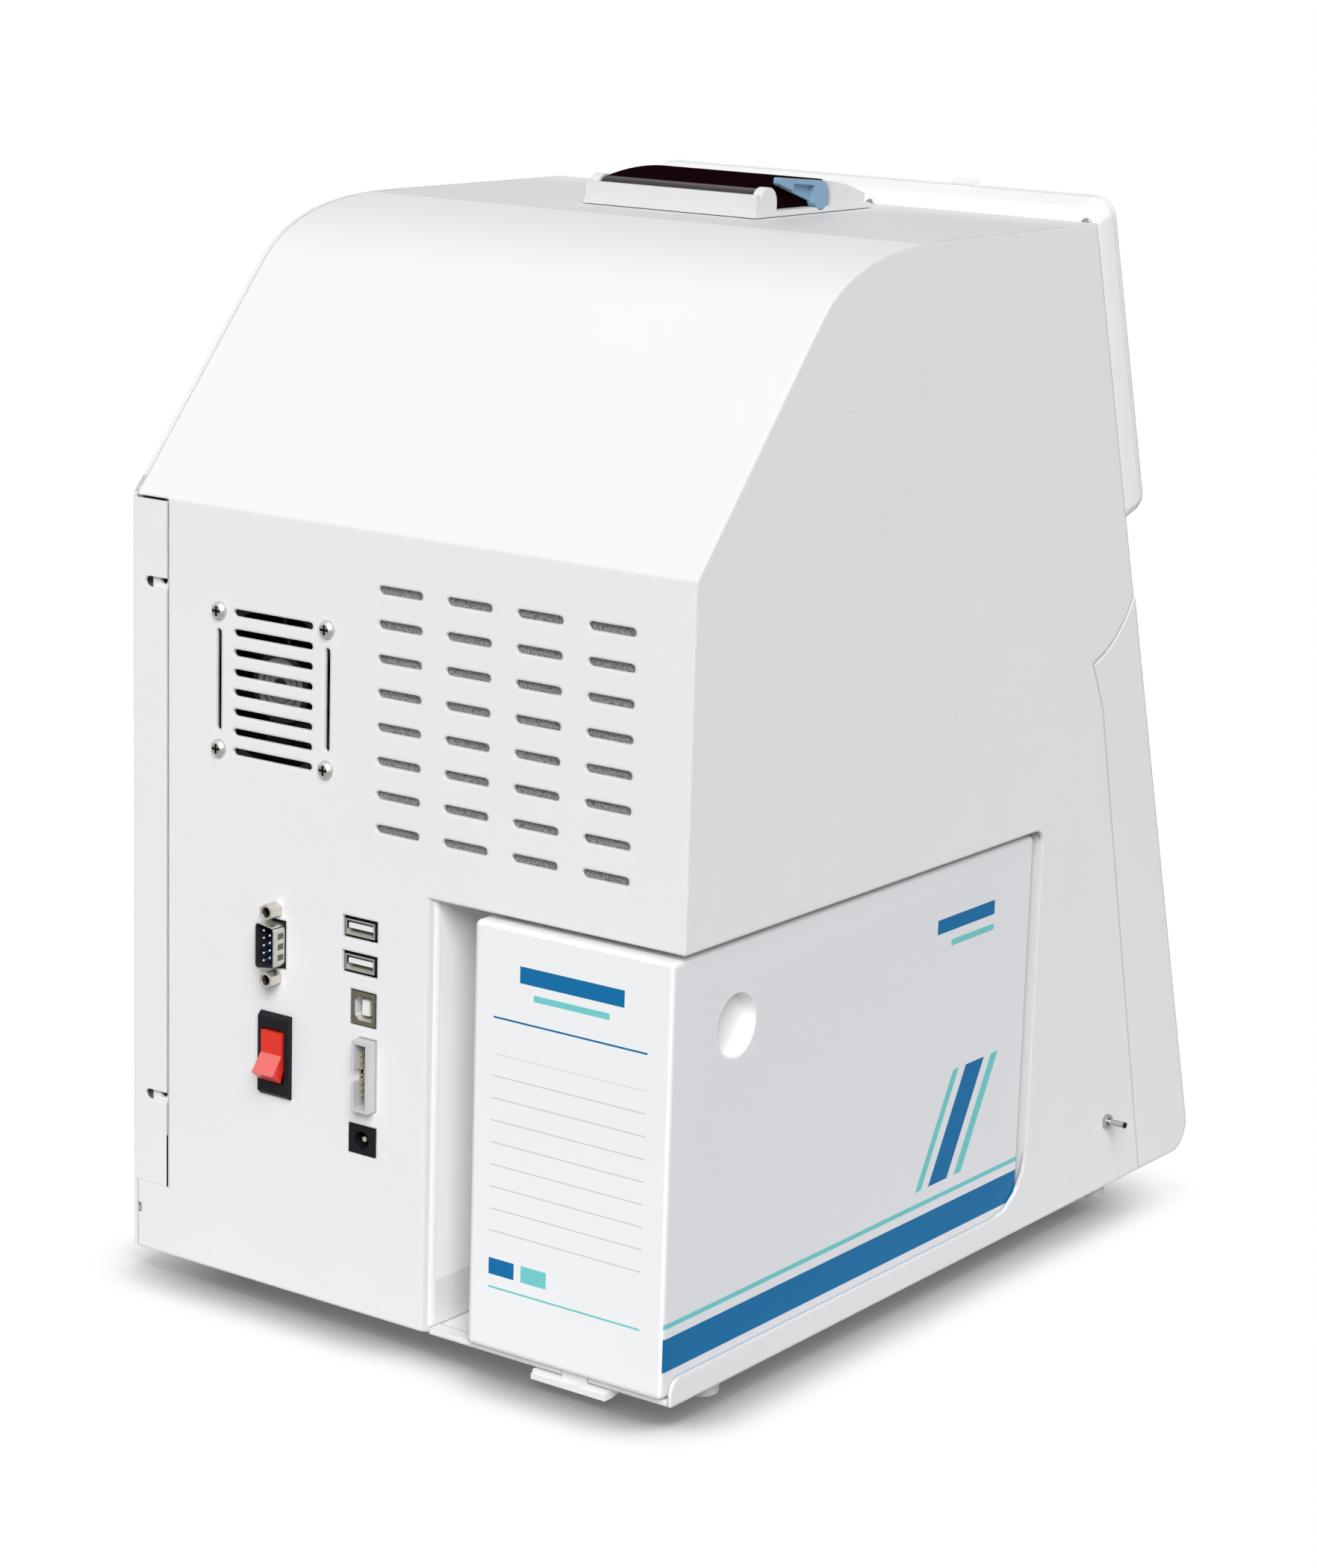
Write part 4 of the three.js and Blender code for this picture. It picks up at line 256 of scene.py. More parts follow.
def glow(strength):
    return card.node("ShaderNodeEmission", inputs={"Color": (1, 1, 1, 1), "Strength": strength})


def blend(factor, below, above):
    return card.node("ShaderNodeMixShader", inputs={0: factor, 1: below, 2: above})


openness = card.node(
    "ShaderNodeAmbientOcclusion", {"samples": shadow_samples}, {"Distance": shadow_reach}, output="AO"
)
shadow_greys = [(place, (grey, grey, grey, 1)) for place, grey in shadow_stops]
opened = card.node("ShaderNodeValToRGB", {"stops": shadow_greys}, {"Fac": openness})
seen = card.node("ShaderNodeLightPath", output="Is Camera Ray")
lit_card = Value(card, card.shader.outputs[0])
shadow = (1 - opened) * card.fade(card.x, *shadow_far_end) * card.fade(card.y, *shadow_front_end)
card_look = blend(seen, lit_card, blend(shadow * shadow_strength, glow(1.0), glow(shadow_dark)))
card.feed(card.tree.nodes["Material Output"].inputs["Surface"], card_look)


# Housing, covers and floor plate
# Folded steel sheet, spot-welded and powder coated white. The coat is a fine orange peel that softens every
# edge, a little cloudy, with a few specks baked in and scuffs low on the rear panel. Painted shade lowers its
# tone on the top, at the bay's fold and inner end, in the slits round the side cover's flange and in a notch
# near the floor, and painted light raises it on the bay's wall. Painted boxes are in millimetres, measured
# from the rear face, each with its tone.
rear_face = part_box("housing_shell")[1][1]
top_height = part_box("housing_shell")[1][2]
coat_colour = (0.798, 0.802, 0.816)
coat_edge = 1.4 * MM
plate_edge = 0.4 * MM
peel_depth = 0.06 * MM
peel_scale = 1150
lump_scale = 420
speck_scale = 62
speck_grey = (0.45, 0.44, 0.42)
scuff_heights = (75 * MM, 12 * MM)
scuff_grey = (0.5, 0.48, 0.45)
# Painted shade on the top, full towards the rear and fading out towards the front:
top_shade_tone = 0.84
top_shade_skin = 0.3 * MM
top_shade_start = (-75 * MM, -35 * MM)
# Painted shade along the bay's fold, where the rear panel bends into the bay's wall:
fold_shade_tone = 0.76
fold_radius = 4 * MM
fold_shade_room = (-12 * MM, 3 * MM)
fold_shade_top = 190 * MM
fold_shade_start = (0, 0.1 * fold_radius)
fold_shade_end = (fold_radius, 0.35 * fold_radius)
# Painted shadow in the slits round the flange and in the notch, painted shade on the bay's inner end and
# painted light on the bay's wall:
slit_painted_shadow = (0.006, 0.006, 0.008)
notch_painted_shade = (0.2, 0.2, 0.205)
bay_end_painted_shade = (0.64, 0.642, 0.65)
bay_wall_painted_light = (0.93, 0.932, 0.945)
painted_shade_and_light = [
    ((112.3, -9, 290), (124.6, 1, 290.9), slit_painted_shadow),
    ((111.2, -9, 33), (112.36, -0.3, 53), slit_painted_shadow),
    ((111.2, -9, 53), (112.3, -0.9, 289), slit_painted_shadow),
    ((124, -9, 20.4), (126.6, -0.1, 24.1), notch_painted_shade),
    ((-118.8, -241, 8), (-100, -228, 175), bay_end_painted_shade),
    ((-22, -225, 26), (2, -3.8, 200), bay_wall_painted_light),
]


def from_rear(corner):
    x, y, z = corner
    return x * MM, rear_face + y * MM, z * MM


smooth_below = math.radians(32)
weld_reach = MM / 1000


def smooth_bends_group():
    group = bpy.data.node_groups.new("smooth_bends", "GeometryNodeTree")
    group.interface.new_socket("Geometry", in_out="INPUT", socket_type="NodeSocketGeometry")
    group.interface.new_socket("Geometry", in_out="OUTPUT", socket_type="NodeSocketGeometry")
    start = group.nodes.new("NodeGroupInput")
    end = group.nodes.new("NodeGroupOutput")
    weld = group.nodes.new("GeometryNodeMergeByDistance")
    weld.inputs["Distance"].default_value = weld_reach
    bend = group.nodes.new("GeometryNodeInputMeshEdgeAngle")
    slight = group.nodes.new("FunctionNodeCompare")
    slight.data_type = "FLOAT"
    slight.operation = "LESS_THAN"
    slight.inputs[1].default_value = smooth_below
    faces = group.nodes.new("GeometryNodeSetShadeSmooth")
    faces.domain = "FACE"
    edges = group.nodes.new("GeometryNodeSetShadeSmooth")
    edges.domain = "EDGE"
    link = group.links.new
    link(start.outputs[0], weld.inputs["Geometry"])
    link(weld.outputs["Geometry"], faces.inputs["Geometry"])
    link(faces.outputs["Geometry"], edges.inputs["Geometry"])
    link(bend.outputs["Unsigned Angle"], slight.inputs[0])
    link(slight.outputs[0], edges.inputs["Shade Smooth"])
    link(edges.outputs["Geometry"], end.inputs[0])
    return group


smooth_bends = smooth_bends_group()
for node in nodes.values():
    bends = node.modifiers.new("smooth_bends", "NODES")
    bends.node_group = smooth_bends
    flats = node.modifiers.new("even_flats", "WEIGHTED_NORMAL")
    flats.keep_sharp = True
    flats.weight = 100


def powder_coat(name, colour, edge, painted_shading=()):
    coat = Finish(name, specular_ior_level=0.32)
    cloud = coat.noise(14, 3, 0.6)
    peel = coat.noise(peel_scale, 2, 0.55)
    lumps = coat.noise(lump_scale, 1)
    specks = coat.fade(coat.cells(speck_scale), 0.035, 0.012)
    low = coat.fade(coat.z, *scuff_heights)
    scuffs = coat.fade(coat.noise(70, 5, 0.75, coat.stretched(1, 1, 3)), 0.66, 0.74) * low
    shade = coat.mix(cloud, tuple(c * 0.975 for c in colour), tuple(c * 1.015 for c in colour))
    shade = coat.mix(specks * 0.35, shade, speck_grey)
    shade = coat.mix(scuffs * 0.22, shade, scuff_grey)
    # Painted shade on the top and along the bay's fold, then the boxes of painted shade and light.
    top_shade = (coat.z > top_height - top_shade_skin) * coat.fade(coat.y, *top_shade_start)
    shade = coat.mix(top_shade, shade, tuple(c * top_shade_tone for c in colour))
    behind = rear_face - coat.y
    fold_shade = coat.fade(behind, *fold_shade_start) * coat.fade(behind, *fold_shade_end)
    fold_shade = fold_shade * coat.x.within(*fold_shade_room) * (coat.z < fold_shade_top)
    shade = coat.mix(fold_shade, shade, tuple(c * fold_shade_tone for c in colour))
    # Each box paints its shade or light over the coat.
    for low_corner, high_corner, tone in painted_shading:
        room = coat.inside(from_rear(low_corner), from_rear(high_corner))
        shade = coat.mix(room, shade, tone)
    coat.set(base_color=shade, roughness=0.4 + cloud * 0.16 + scuffs * 0.1)
    coat.relief(peel * 0.55 + lumps * 0.45, peel_depth, edge)
    return coat


white_coat = powder_coat("white_powder_coat", coat_colour, coat_edge, painted_shade_and_light)
white_coat.dress("base_tray", "housing_shell", "front_cover")
plate_coat = powder_coat("cover_powder_coat", coat_colour, plate_edge, painted_shade_and_light)
plate_coat.dress("side_cover")


# Corner ear and cover lip
# At the foot of the slope the side cover's edge is folded in, which leaves a shaded step 2 mm wide and 5 mm
# long above the flange on the rear face; a thin plate carries its painted shade in a grey coat. Below the
# flange a lip 1.25 mm wide hides the edge of the floor.
def piece(name, mesh, finish, body, smooth=False):
    bmesh.ops.recalc_face_normals(mesh, faces=mesh.faces)
    for face in mesh.faces:
        face.smooth = smooth
    data = bpy.data.meshes.new(name)
    mesh.to_mesh(data)
    mesh.free()
    made = bpy.data.objects.new(name, data)
    bpy.context.scene.collection.objects.link(made)
    data.materials.append(finish.material)
    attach(made, body)
    return made


cover_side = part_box("side_cover")[1][0]
slope_rise = 101 / 86
ear_foot = 291.8 * MM
ear_tall = 5.3 * MM
ear_wide = 1.9 * MM
ear_out = 0.12 * MM
ear_thick = 0.3 * MM
slope_foot = 291 * MM
ear_mesh = bmesh.new()
ear_corners = [(0, 0), (1, -0.02), (0.5, 0.25), (1.1, 0.72), (0.95, 1.0), (0, 0.97)]
ear_verts = []
for across, rise in ear_corners:
    z = ear_foot + rise * ear_tall
    y = rear_face - (z - slope_foot) / slope_rise + ear_out
    ear_verts.append(ear_mesh.verts.new((cover_side - across * ear_wide, y, z)))
ear_face = ear_mesh.faces.new(ear_verts)
ear_back = bmesh.ops.extrude_face_region(ear_mesh, geom=[ear_face])["geom"]
ear_moved = [item for item in ear_back if isinstance(item, bmesh.types.BMVert)]
bmesh.ops.translate(ear_mesh, verts=ear_moved, vec=(0, -ear_thick, -ear_thick))
# The plate's grey is painted shade.
ear_painted_shade = (0.5, 0.5, 0.51)
ear_coat = powder_coat("shaded_powder_coat", ear_painted_shade, plate_edge)
piece("corner_ear", ear_mesh, ear_coat, "root")

tray_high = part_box("base_tray")[1]
lip_size = Vector((1.25 * MM, 1.4 * MM, 25.4 * MM))
lip_middle = Vector((tray_high[0], rear_face, tray_high[2])) - lip_size / 2
lip_mesh = bmesh.new()
lip_shape = Matrix.Translation(lip_middle) @ Matrix.Diagonal((*lip_size, 1))
bmesh.ops.create_cube(lip_mesh, size=1, matrix=lip_shape)
piece("cover_lip", lip_mesh, plate_coat, "root")


# Seam bead
# The side cover's edge meets the slope and the top at a seam that the coat has all but closed: a bead 0.3 mm
# wide, level with both sheets, along the housing's own outline.
housing_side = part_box("housing_shell")[1][0]
seam_foot = 290.9 * MM
seam_edge = cover_side - 1.2 * MM
seam_deep = 0.35 * MM
side_slack = 0.01 * MM
housing_points = [v.co for v in nodes["housing_shell"].data.vertices]
seam_points = [point for point in housing_points if abs(point.x - housing_side) < side_slack]
seam_hull = convex_hull_2d([(point.y, point.z) for point in seam_points])
seam_path = [(seam_points[i].y, seam_points[i].z) for i in seam_hull if seam_points[i].z > seam_foot]
seam_path.sort(reverse=True)
seam_sink = Vector((0, -seam_deep, -seam_deep))
seam_mesh = bmesh.new()
seam_rows = []
for y, z in seam_path:
    outer = [Vector((x, y, z)) for x in (housing_side, seam_edge)]
    inner = [place + seam_sink for place in outer[::-1]]
    seam_rows.append([seam_mesh.verts.new(place) for place in outer + inner])
for row, following in zip(seam_rows, seam_rows[1:]):
    for i in range(len(row)):
        j = (i + 1) % len(row)
        seam_mesh.faces.new((row[i], row[j], following[j], following[i]))
seam_mesh.faces.new(seam_rows[0])
seam_mesh.faces.new(seam_rows[-1][::-1])
piece("seam_bead", seam_mesh, plate_coat, "root")


# Rubber feet
# Four round pads moulded in white rubber, pressed into the floor plate.
def rubber(name, colour):
    pad = Finish(name, specular_ior_level=0.3)
    grain = pad.noise(800, 3)
    dust = pad.noise(60, 4, 0.7)
    pad.set(base_color=pad.mix(dust * 0.5, colour, tuple(c * 0.8 + 0.04 for c in colour)))
    pad.set(roughness=0.62 + grain * 0.2)
    pad.relief(grain, 0.03 * MM, 0.4 * MM)
    return pad


rubber("white_rubber", (0.7, 0.7, 0.71)).dress(
    "foot_rear_left", "foot_rear_right", "foot_front_left", "foot_front_right"
)


# Fan
# A 60 mm fan in black moulded plastic behind the grille, with a round paper disc on its hub, held by four
# cross-head screws in bright nickel.
def moulding(name, colour, rough=0.42, grain_size=700.0, specular=0.45, edge=0.35):
    shell = Finish(name, specular_ior_level=specular)
    cloud = shell.noise(26, 3, 0.6)
    grain = shell.noise(grain_size, 2)
    shell.set(
        base_color=shell.mix(cloud, tuple(c * 0.96 for c in colour), tuple(min(c * 1.03, 1) for c in colour)),
        roughness=rough - 0.06 + cloud * 0.12,
    )
    shell.relief(grain * 0.6 + cloud * 0.4, 0.02 * MM, edge * MM)
    return shell


black_plastic = moulding("black_plastic", (0.01, 0.01, 0.014), rough=0.5, specular=0.14)
black_plastic.dress("fan_frame", "lcd_module", "switch_bezel")

fan_low, fan_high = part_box("fan_frame")
fan_x = (fan_low[0] + fan_high[0]) / 2
fan_z = (fan_low[2] + fan_high[2]) / 2
hub_disc_radius = 10.5 * MM
hub_disc_hole = 3.4 * MM
hub_disc_skin = 0.2 * MM
ring_shares = ((0.72, 0.8), (0.5, 0.54))
rotor_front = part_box("fan_rotor")[1][1]
blade = Finish("fan_blade", specular_ior_level=0.4)
blade_radius = blade.reach(blade.x - fan_x, blade.z - fan_z)
blade_grain = blade.noise(500, 3)
disc = blade_radius.within(hub_disc_hole, hub_disc_radius) * (blade.y > rotor_front - hub_disc_skin)
outer_ring, inner_ring = [
    blade_radius.within(hub_disc_radius * low, hub_disc_radius * high) for low, high in ring_shares
]
disc_ring = outer_ring.either(inner_ring)
disc_shade = blade.mix(disc_ring, (0.42, 0.42, 0.43), (0.13, 0.13, 0.14))
blade.set(base_color=blade.mix(disc, (0.016, 0.016, 0.018), disc_shade), roughness=0.45 + blade_grain * 0.15)
blade.relief(blade_grain, 0.02 * MM, 0.3 * MM)
blade.dress("fan_rotor")


def metal(name, colour, rough=0.26, brush=(1.0, 1.0, 12.0), tarnish=0.35):
    part = Finish(name, metallic=1.0)
    lines = part.noise(900, 3, 0.6, part.stretched(*brush))
    bloom = part.noise(160, 4, 0.6)
    dull = tuple(c * 0.66 for c in colour)
    part.tone = part.mix(bloom * tarnish, colour, dull)
    part.set(base_color=part.tone, roughness=rough + lines * 0.14 + bloom * 0.06)
    part.relief(lines, 0.008 * MM, 0.2 * MM)
    return part


# On each head the cross recess is painted near black and the bowl round it darker, as painted shade:
cross_half = (1.85 * MM, 0.45 * MM)
recess_radius = 2.1 * MM
crown_tall = 1.2 * MM
recess_painted_shade = (0.3, 0.29, 0.27)
cross_painted_shade = (0.03, 0.028, 0.025)
for number in range(1, 5):
    head = f"fan_screw_{number}"
    head_low, head_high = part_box(head)
    screw = metal(f"{head}_steel", (0.66, 0.64, 0.6))
    from_x = screw.x.away((head_low[0] + head_high[0]) / 2)
    from_z = screw.z.away((head_low[2] + head_high[2]) / 2)
    cross = (from_x < cross_half[0]) * (from_z < cross_half[1])
    cross = cross.either((from_x < cross_half[1]) * (from_z < cross_half[0]))
    crown = screw.y > head_high[1] - crown_tall
    bowl_shade = screw.fade(screw.reach(from_x, from_z), recess_radius, recess_radius * 0.7) * crown
    tone = screw.mix(bowl_shade * 0.55, screw.tone, recess_painted_shade)
    screw.set(base_color=screw.mix(cross * crown, tone, cross_painted_shade))
    screw.dress(head)

# Filter pad
# Open grey foam behind the vent field, finely speckled.
foam = Finish("filter_foam", roughness=0.95, specular_ior_level=0.1)
pores = foam.cells(1200)
foam_cloud = foam.noise(500, 4, 0.7)
foam_shade = foam.node(
    "ShaderNodeValToRGB",
    {"stops": [(0.15, (0.4, 0.4, 0.405, 1)), (0.5, (0.27, 0.27, 0.275, 1)), (0.85, (0.13, 0.13, 0.13, 1))]},
    {"Fac": pores * 0.7 + foam_cloud * 0.35},
)
foam.set(base_color=foam_shade)
foam.relief(1 - pores, 0.3 * MM)
foam.dress("vent_filter")


# Sockets
# A nine-pin serial plug with a nickel shell and black insert, two flat and one square socket in sheet metal,
# a grey box header with gold pins, and a round power inlet in black.
shell_low, shell_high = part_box("serial_shell")
shell_mid = [(a + b) / 2 for a, b in zip(shell_low, shell_high)]
dimple_half = (1.7 * MM, 1.35 * MM)
dimple_out = 2.6 * MM
dimple_pitch = 3.9 * MM
room_half = (4.05 * MM, 7.75 * MM)
room_taper = 0.133
foot_tall = 0.5 * MM
# The dull tone is tarnish and also painted shade in the dimples; the shell's inside and its foot at the panel
# are painted black as shade.
shell_bright = (0.74, 0.71, 0.65)
shell_tarnish_and_dimple_shade = (0.16, 0.15, 0.13)
shell_painted_shade_black = (0.012, 0.012, 0.018)
shell_metal = Finish("serial_shell_nickel", metallic=1.0)
shell_bloom = shell_metal.noise(240, 4, 0.6)
from_middle = shell_metal.z - shell_mid[2]
dimples = (
    shell_metal.fade(shell_metal.ripple(from_middle, dimple_pitch), dimple_half[1], dimple_half[1] * 0.6)
    * (from_middle.away(0) < 1.5 * dimple_pitch)
    * shell_metal.fade(shell_metal.y.away(rear_face + dimple_out), dimple_half[0], dimple_half[0] * 0.75)
)
shell_across = shell_metal.x - shell_mid[0]
shell_inner_shade = shell_across.away(0) < room_half[0]
shell_inner_shade = shell_inner_shade * (from_middle.away(0) - shell_across * room_taper < room_half[1])
shell_foot_shadow = shell_metal.y < rear_face + foot_tall
shell_painted_shade = shell_inner_shade.either(shell_foot_shadow)
shell_tone = shell_metal.mix(dimples.either(shell_bloom * 0.3), shell_bright, shell_tarnish_and_dimple_shade)
shell_metal.set(
    base_color=shell_metal.mix(shell_painted_shade, shell_tone, shell_painted_shade_black),
    metallic=1 - shell_painted_shade,
    roughness=0.24 + shell_bloom * 0.16 + shell_painted_shade * 0.4,
)
shell_metal.relief(shell_bloom * 0.2 - dimples, 0.3 * MM, 0.3 * MM)
shell_metal.dress("serial_shell")

# Only the pins' tips are gold; their shafts take the insert's dark as painted shade inside the shell.
pin_reach = 4.7 * MM
# A blue sheen on the insert's lower half is a painted reflection.
painted_sheen_heights = (shell_mid[2] + 3 * MM, shell_mid[2] - 2 * MM)
insert = Finish("serial_insert_black", specular_ior_level=0.15)
unshaded_pin_tips = insert.y > rear_face + pin_reach
insert_cloud = insert.noise(300, 3)
painted_sheen_low = insert.fade(insert.z, *painted_sheen_heights)
painted_sheen = insert.fade(insert.noise(260, 2), 0.4, 0.56) * painted_sheen_low
insert_shade = insert.mix(painted_sheen, (0.006, 0.009, 0.022), (0.012, 0.055, 0.19))
insert.set(
    base_color=insert.mix(unshaded_pin_tips, insert_shade, (0.82, 0.76, 0.6)),
    roughness=0.4 + insert_cloud * 0.12,
)
insert.relief(insert_cloud, 0.02 * MM, 0.12 * MM)
insert.dress("serial_insert")

screw_apart = 12.5 * MM
# The jack screws' threaded bores are painted dark as shade, darkest deep inside.
tap_radius = 2.15 * MM
tap_deep = 2.2 * MM
tap_rim = 0.12 * MM
tap_deep_shade = (0.02, 0.018, 0.015)
tap_rim_shade = (0.3, 0.27, 0.23)
nickel = metal("nickel_plate", (0.72, 0.69, 0.63))
screw_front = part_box("jack_screw_upper")[1][1]
from_axis = nickel.reach(nickel.x - shell_mid[0], nickel.z.away(shell_mid[2]).away(screw_apart))
tap = (from_axis < tap_radius) * nickel.y.within(rear_face + foot_tall, screw_front - tap_rim)
tap_painted_shade = nickel.mix(nickel.fade(nickel.y, screw_front - tap_deep, screw_front), tap_deep_shade, tap_rim_shade)
nickel.set(base_color=nickel.mix(tap, nickel.tone, tap_painted_shade))
nickel.dress("jack_screw_upper", "jack_screw_lower")

tongue_deep = 0.4 * MM
mouth_deep = 0.25 * MM
foot_fade = 0.6 * MM
tongue_white = (0.78, 0.78, 0.76)
# Inside the flat sockets' mouths the near black is painted shade; the square socket's mouth keeps the pale
# grey of its inner walls. Each mouth turns to the foot grey towards the bottom.
flat_can = {
    "frame": (0.66, 0.64, 0.59),
    "inside": (0.02, 0.019, 0.018),
    "foot": (0.5, 0.485, 0.45),
    "wall": 0.45 * MM,
    "tongue": (5.8 * MM, 1.0 * MM),
    "rise": 0.5 * MM,
}
square_can = {
    "frame": (0.275, 0.242, 0.181),
    "inside": (0.66, 0.66, 0.65),
    "foot": (0.5, 0.5, 0.49),
    "wall": 1.3 * MM,
    "tongue": (1.7 * MM, 2.9 * MM),
    "rise": 0,
}
for port, look in {"usb_port_upper": flat_can, "usb_port_lower": flat_can, "usb_b_port": square_can}.items():
    low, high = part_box(port)
    middle = [(a + b) / 2 for a, b in zip(low, high)]
    can = Finish(port + "_can")
    bloom = can.noise(220, 4, 0.6)
    from_x = can.x.away(middle[0])
    from_z = can.z - middle[2]
    tongue = (
        (from_x < look["tongue"][0])
        * (from_z.away(look["rise"]) < look["tongue"][1])
        * (can.y < high[1] - tongue_deep)
    )
    mouth = (
        (from_x < (high[0] - low[0]) / 2 - look["wall"])
        * (from_z.away(0) < (high[2] - low[2]) / 2 - look["wall"])
        * (can.y < high[1] - mouth_deep)
    )
    shade = can.mix(bloom * 0.4, look["frame"], tuple(c * 0.75 for c in look["frame"]))
    foot_top = look["rise"] - look["tongue"][1]
    foot = can.fade(from_z, foot_top, foot_top - foot_fade)
    shade = can.mix(mouth, shade, can.mix(foot, look["inside"], look["foot"]))
    shade = can.mix(tongue, shade, tongue_white)
    can.set(base_color=shade, metallic=1 - tongue.either(mouth), roughness=0.26 + bloom * 0.14 + tongue * 0.2)
    can.relief(bloom, 0.012 * MM, 0.2 * MM)
    can.dress(port)

header_low, header_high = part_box("data_header")
header_mid = [(a + b) / 2 for a, b in zip(header_low, header_high)]
pin_pitch = 2.54 * MM
pin_half = 0.36 * MM
header_wall = 1.5 * MM
header_lip = 0.4 * MM
pin_depth = 2.2 * MM
# The header's pocket is painted darker with depth, as painted shade.
pocket_shade_depths = (1.0 * MM, 6.5 * MM)
header = Finish("header_grey", specular_ior_level=0.4)
header_cloud = header.noise(180, 4)
pin_tips = (
    (header.ripple(header.z - header_mid[2], pin_pitch) < pin_half)
    * (header.x.away(header_mid[0]).away(pin_pitch / 2) < pin_half)
    * (header.y < header_high[1] - pin_depth)
)
inside = (
    (header.x.away(header_mid[0]) < (header_high[0] - header_low[0]) / 2 - header_wall)
    * (header.z.away(header_mid[2]) < (header_high[2] - header_low[2]) / 2 - header_wall)
    * (header.y < header_high[1] - header_lip)
)
header_shade = header.mix(header_cloud * 0.3, (0.56, 0.57, 0.585), (0.45, 0.45, 0.46))
pocket_painted_shade = inside * header.fade(header.y, *[header_high[1] - depth for depth in pocket_shade_depths])
header_shade = header.mix(pocket_painted_shade, header_shade, (0.1, 0.1, 0.1))
header.set(
    base_color=header.mix(pin_tips, header_shade, (0.7, 0.56, 0.3)),
    metallic=pin_tips * 0.5,
    roughness=0.45 - pin_tips * 0.1 + header_cloud * 0.08,
)
header.relief(header_cloud, 0.02 * MM, 0.25 * MM)
header.dress("data_header")

jack_low, jack_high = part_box("dc_jack")
jack_mid = [(a + b) / 2 for a, b in zip(jack_low, jack_high)]
centre_pin_radius = 1.3 * MM
centre_pin_deep = 1.2 * MM
jack = Finish("inlet_black", specular_ior_level=0.14)
jack_cloud = jack.noise(240, 3)
from_pin = jack.reach(jack.x - jack_mid[0], jack.z - jack_mid[2])
centre_pin = (from_pin < centre_pin_radius) * (jack.y < jack_high[1] - centre_pin_deep)
jack.set(
    base_color=jack.mix(centre_pin, (0.008, 0.008, 0.011), (0.7, 0.68, 0.62)),
    metallic=centre_pin,
    roughness=0.48 - centre_pin * 0.2 + jack_cloud * 0.14,
)
jack.relief(jack_cloud, 0.02 * MM, 0.25 * MM)
jack.dress("dc_jack")

# Power switch
# A red rocker in a black snap-in bezel. Its lower face leans out and catches the light, painted into it as a
# paler red; its upper face, its ends and its sides are a deep red.
rocker = Finish("rocker_red", specular_ior_level=0.3, coat_roughness=0.08)
rocker_cloud = rocker.noise(60, 2)
valley = (rear_face + 3.34 * MM, 96.5 * MM)
face_lean = math.radians(36.6)
face_skin = 0.25 * MM
upper_red = (0.72, 0.027, 0.013)
lower_red_painted_light = (0.72, 0.145, 0.135)
above_face = (rocker.y - valley[0]) * math.cos(face_lean) + (rocker.z - valley[1]) * math.sin(face_lean)
lower_face = (above_face > -face_skin) * (rocker.z < valley[1])
rocker.set(
    base_color=rocker.mix(lower_face, upper_red, lower_red_painted_light),
    roughness=0.26 + rocker_cloud * 0.08,
    coat_weight=0.12 + rocker_cloud * 0.1,
)
rocker.relief(rocker_cloud, 0.02 * MM, 0.5 * MM)
rocker.dress("power_rocker")

# Reagent pack
# A white moulded box with a printed film on its side and rear. The print is plain: bands, bars and ruled
# lines in blue and teal, placed in millimetres, with a round hole over the finger dent.
pack_low, pack_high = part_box("reagent_pack")
blue = (0.004, 0.148, 0.36)
teal = (0.168, 0.571, 0.578)
film_colour = (0.755, 0.762, 0.787)
pack_colour = (0.845, 0.85, 0.86)
dent_place = (pack_high[1] - 37.5 * MM, pack_low[2] + 124.4 * MM)
dent_hole = 12.2 * MM
film_skin = 0.5 * MM
bar_lean = 0.55
bars_tall = (32, 74)
chips_tall = (28, 34)
rules_wide = (9, 74)
rule_pitch = 8.0
rule_edge = 3.86
rule_strength = 0.55

pack = Finish("reagent_pack_print", specular_ior_level=0.12)
along = (pack_high[1] - pack.y) / MM
up = (pack.z - pack_low[2]) / MM
across = (pack_high[0] - pack.x) / MM
on_side = pack.x < pack_low[0] + film_skin
on_rear = (pack.y > pack_high[1] - film_skin) * (1 - on_side)

dent_away = pack.reach(pack.y - dent_place[0], pack.z - dent_place[1])
film = on_side * (dent_away > dent_hole)
slant = along - up * bar_lean
side_band = up.within(10, 22)
side_line = up.within(25.5, 27.3)
side_bars = slant.within(150, 163) * up.within(*bars_tall)
side_bars_teal = (slant.within(168, 173) + slant.within(141, 145)) * up.within(*bars_tall)
side_head = along.within(166, 206) * up.within(129, 134.5)
side_head_teal = along.within(176, 206) * up.within(123, 125.4)
side_blue = (side_band + side_bars + side_head) * film
side_teal = (side_line + side_bars_teal + side_head_teal) * film

ruled = pack.ripple(up, rule_pitch)
rear_rules = (ruled > rule_edge) * up.within(42, 108) * across.within(*rules_wide)
rear_head = across.within(20, 64) * up.within(135, 141)
rear_head_teal = across.within(26, 58) * up.within(129.5, 131.8)
rear_line = across.within(*rules_wide) * up.within(120.6, 121.3)
rear_foot = across.within(*rules_wide) * up.within(23, 23.7)
rear_chip = across.within(9, 20) * up.within(*chips_tall)
rear_chip_teal = across.within(23, 34) * up.within(*chips_tall)
rear_blue = (rear_rules * rule_strength + rear_head + rear_line + rear_chip) * on_rear
rear_teal = (rear_head_teal + rear_foot + rear_chip_teal) * on_rear

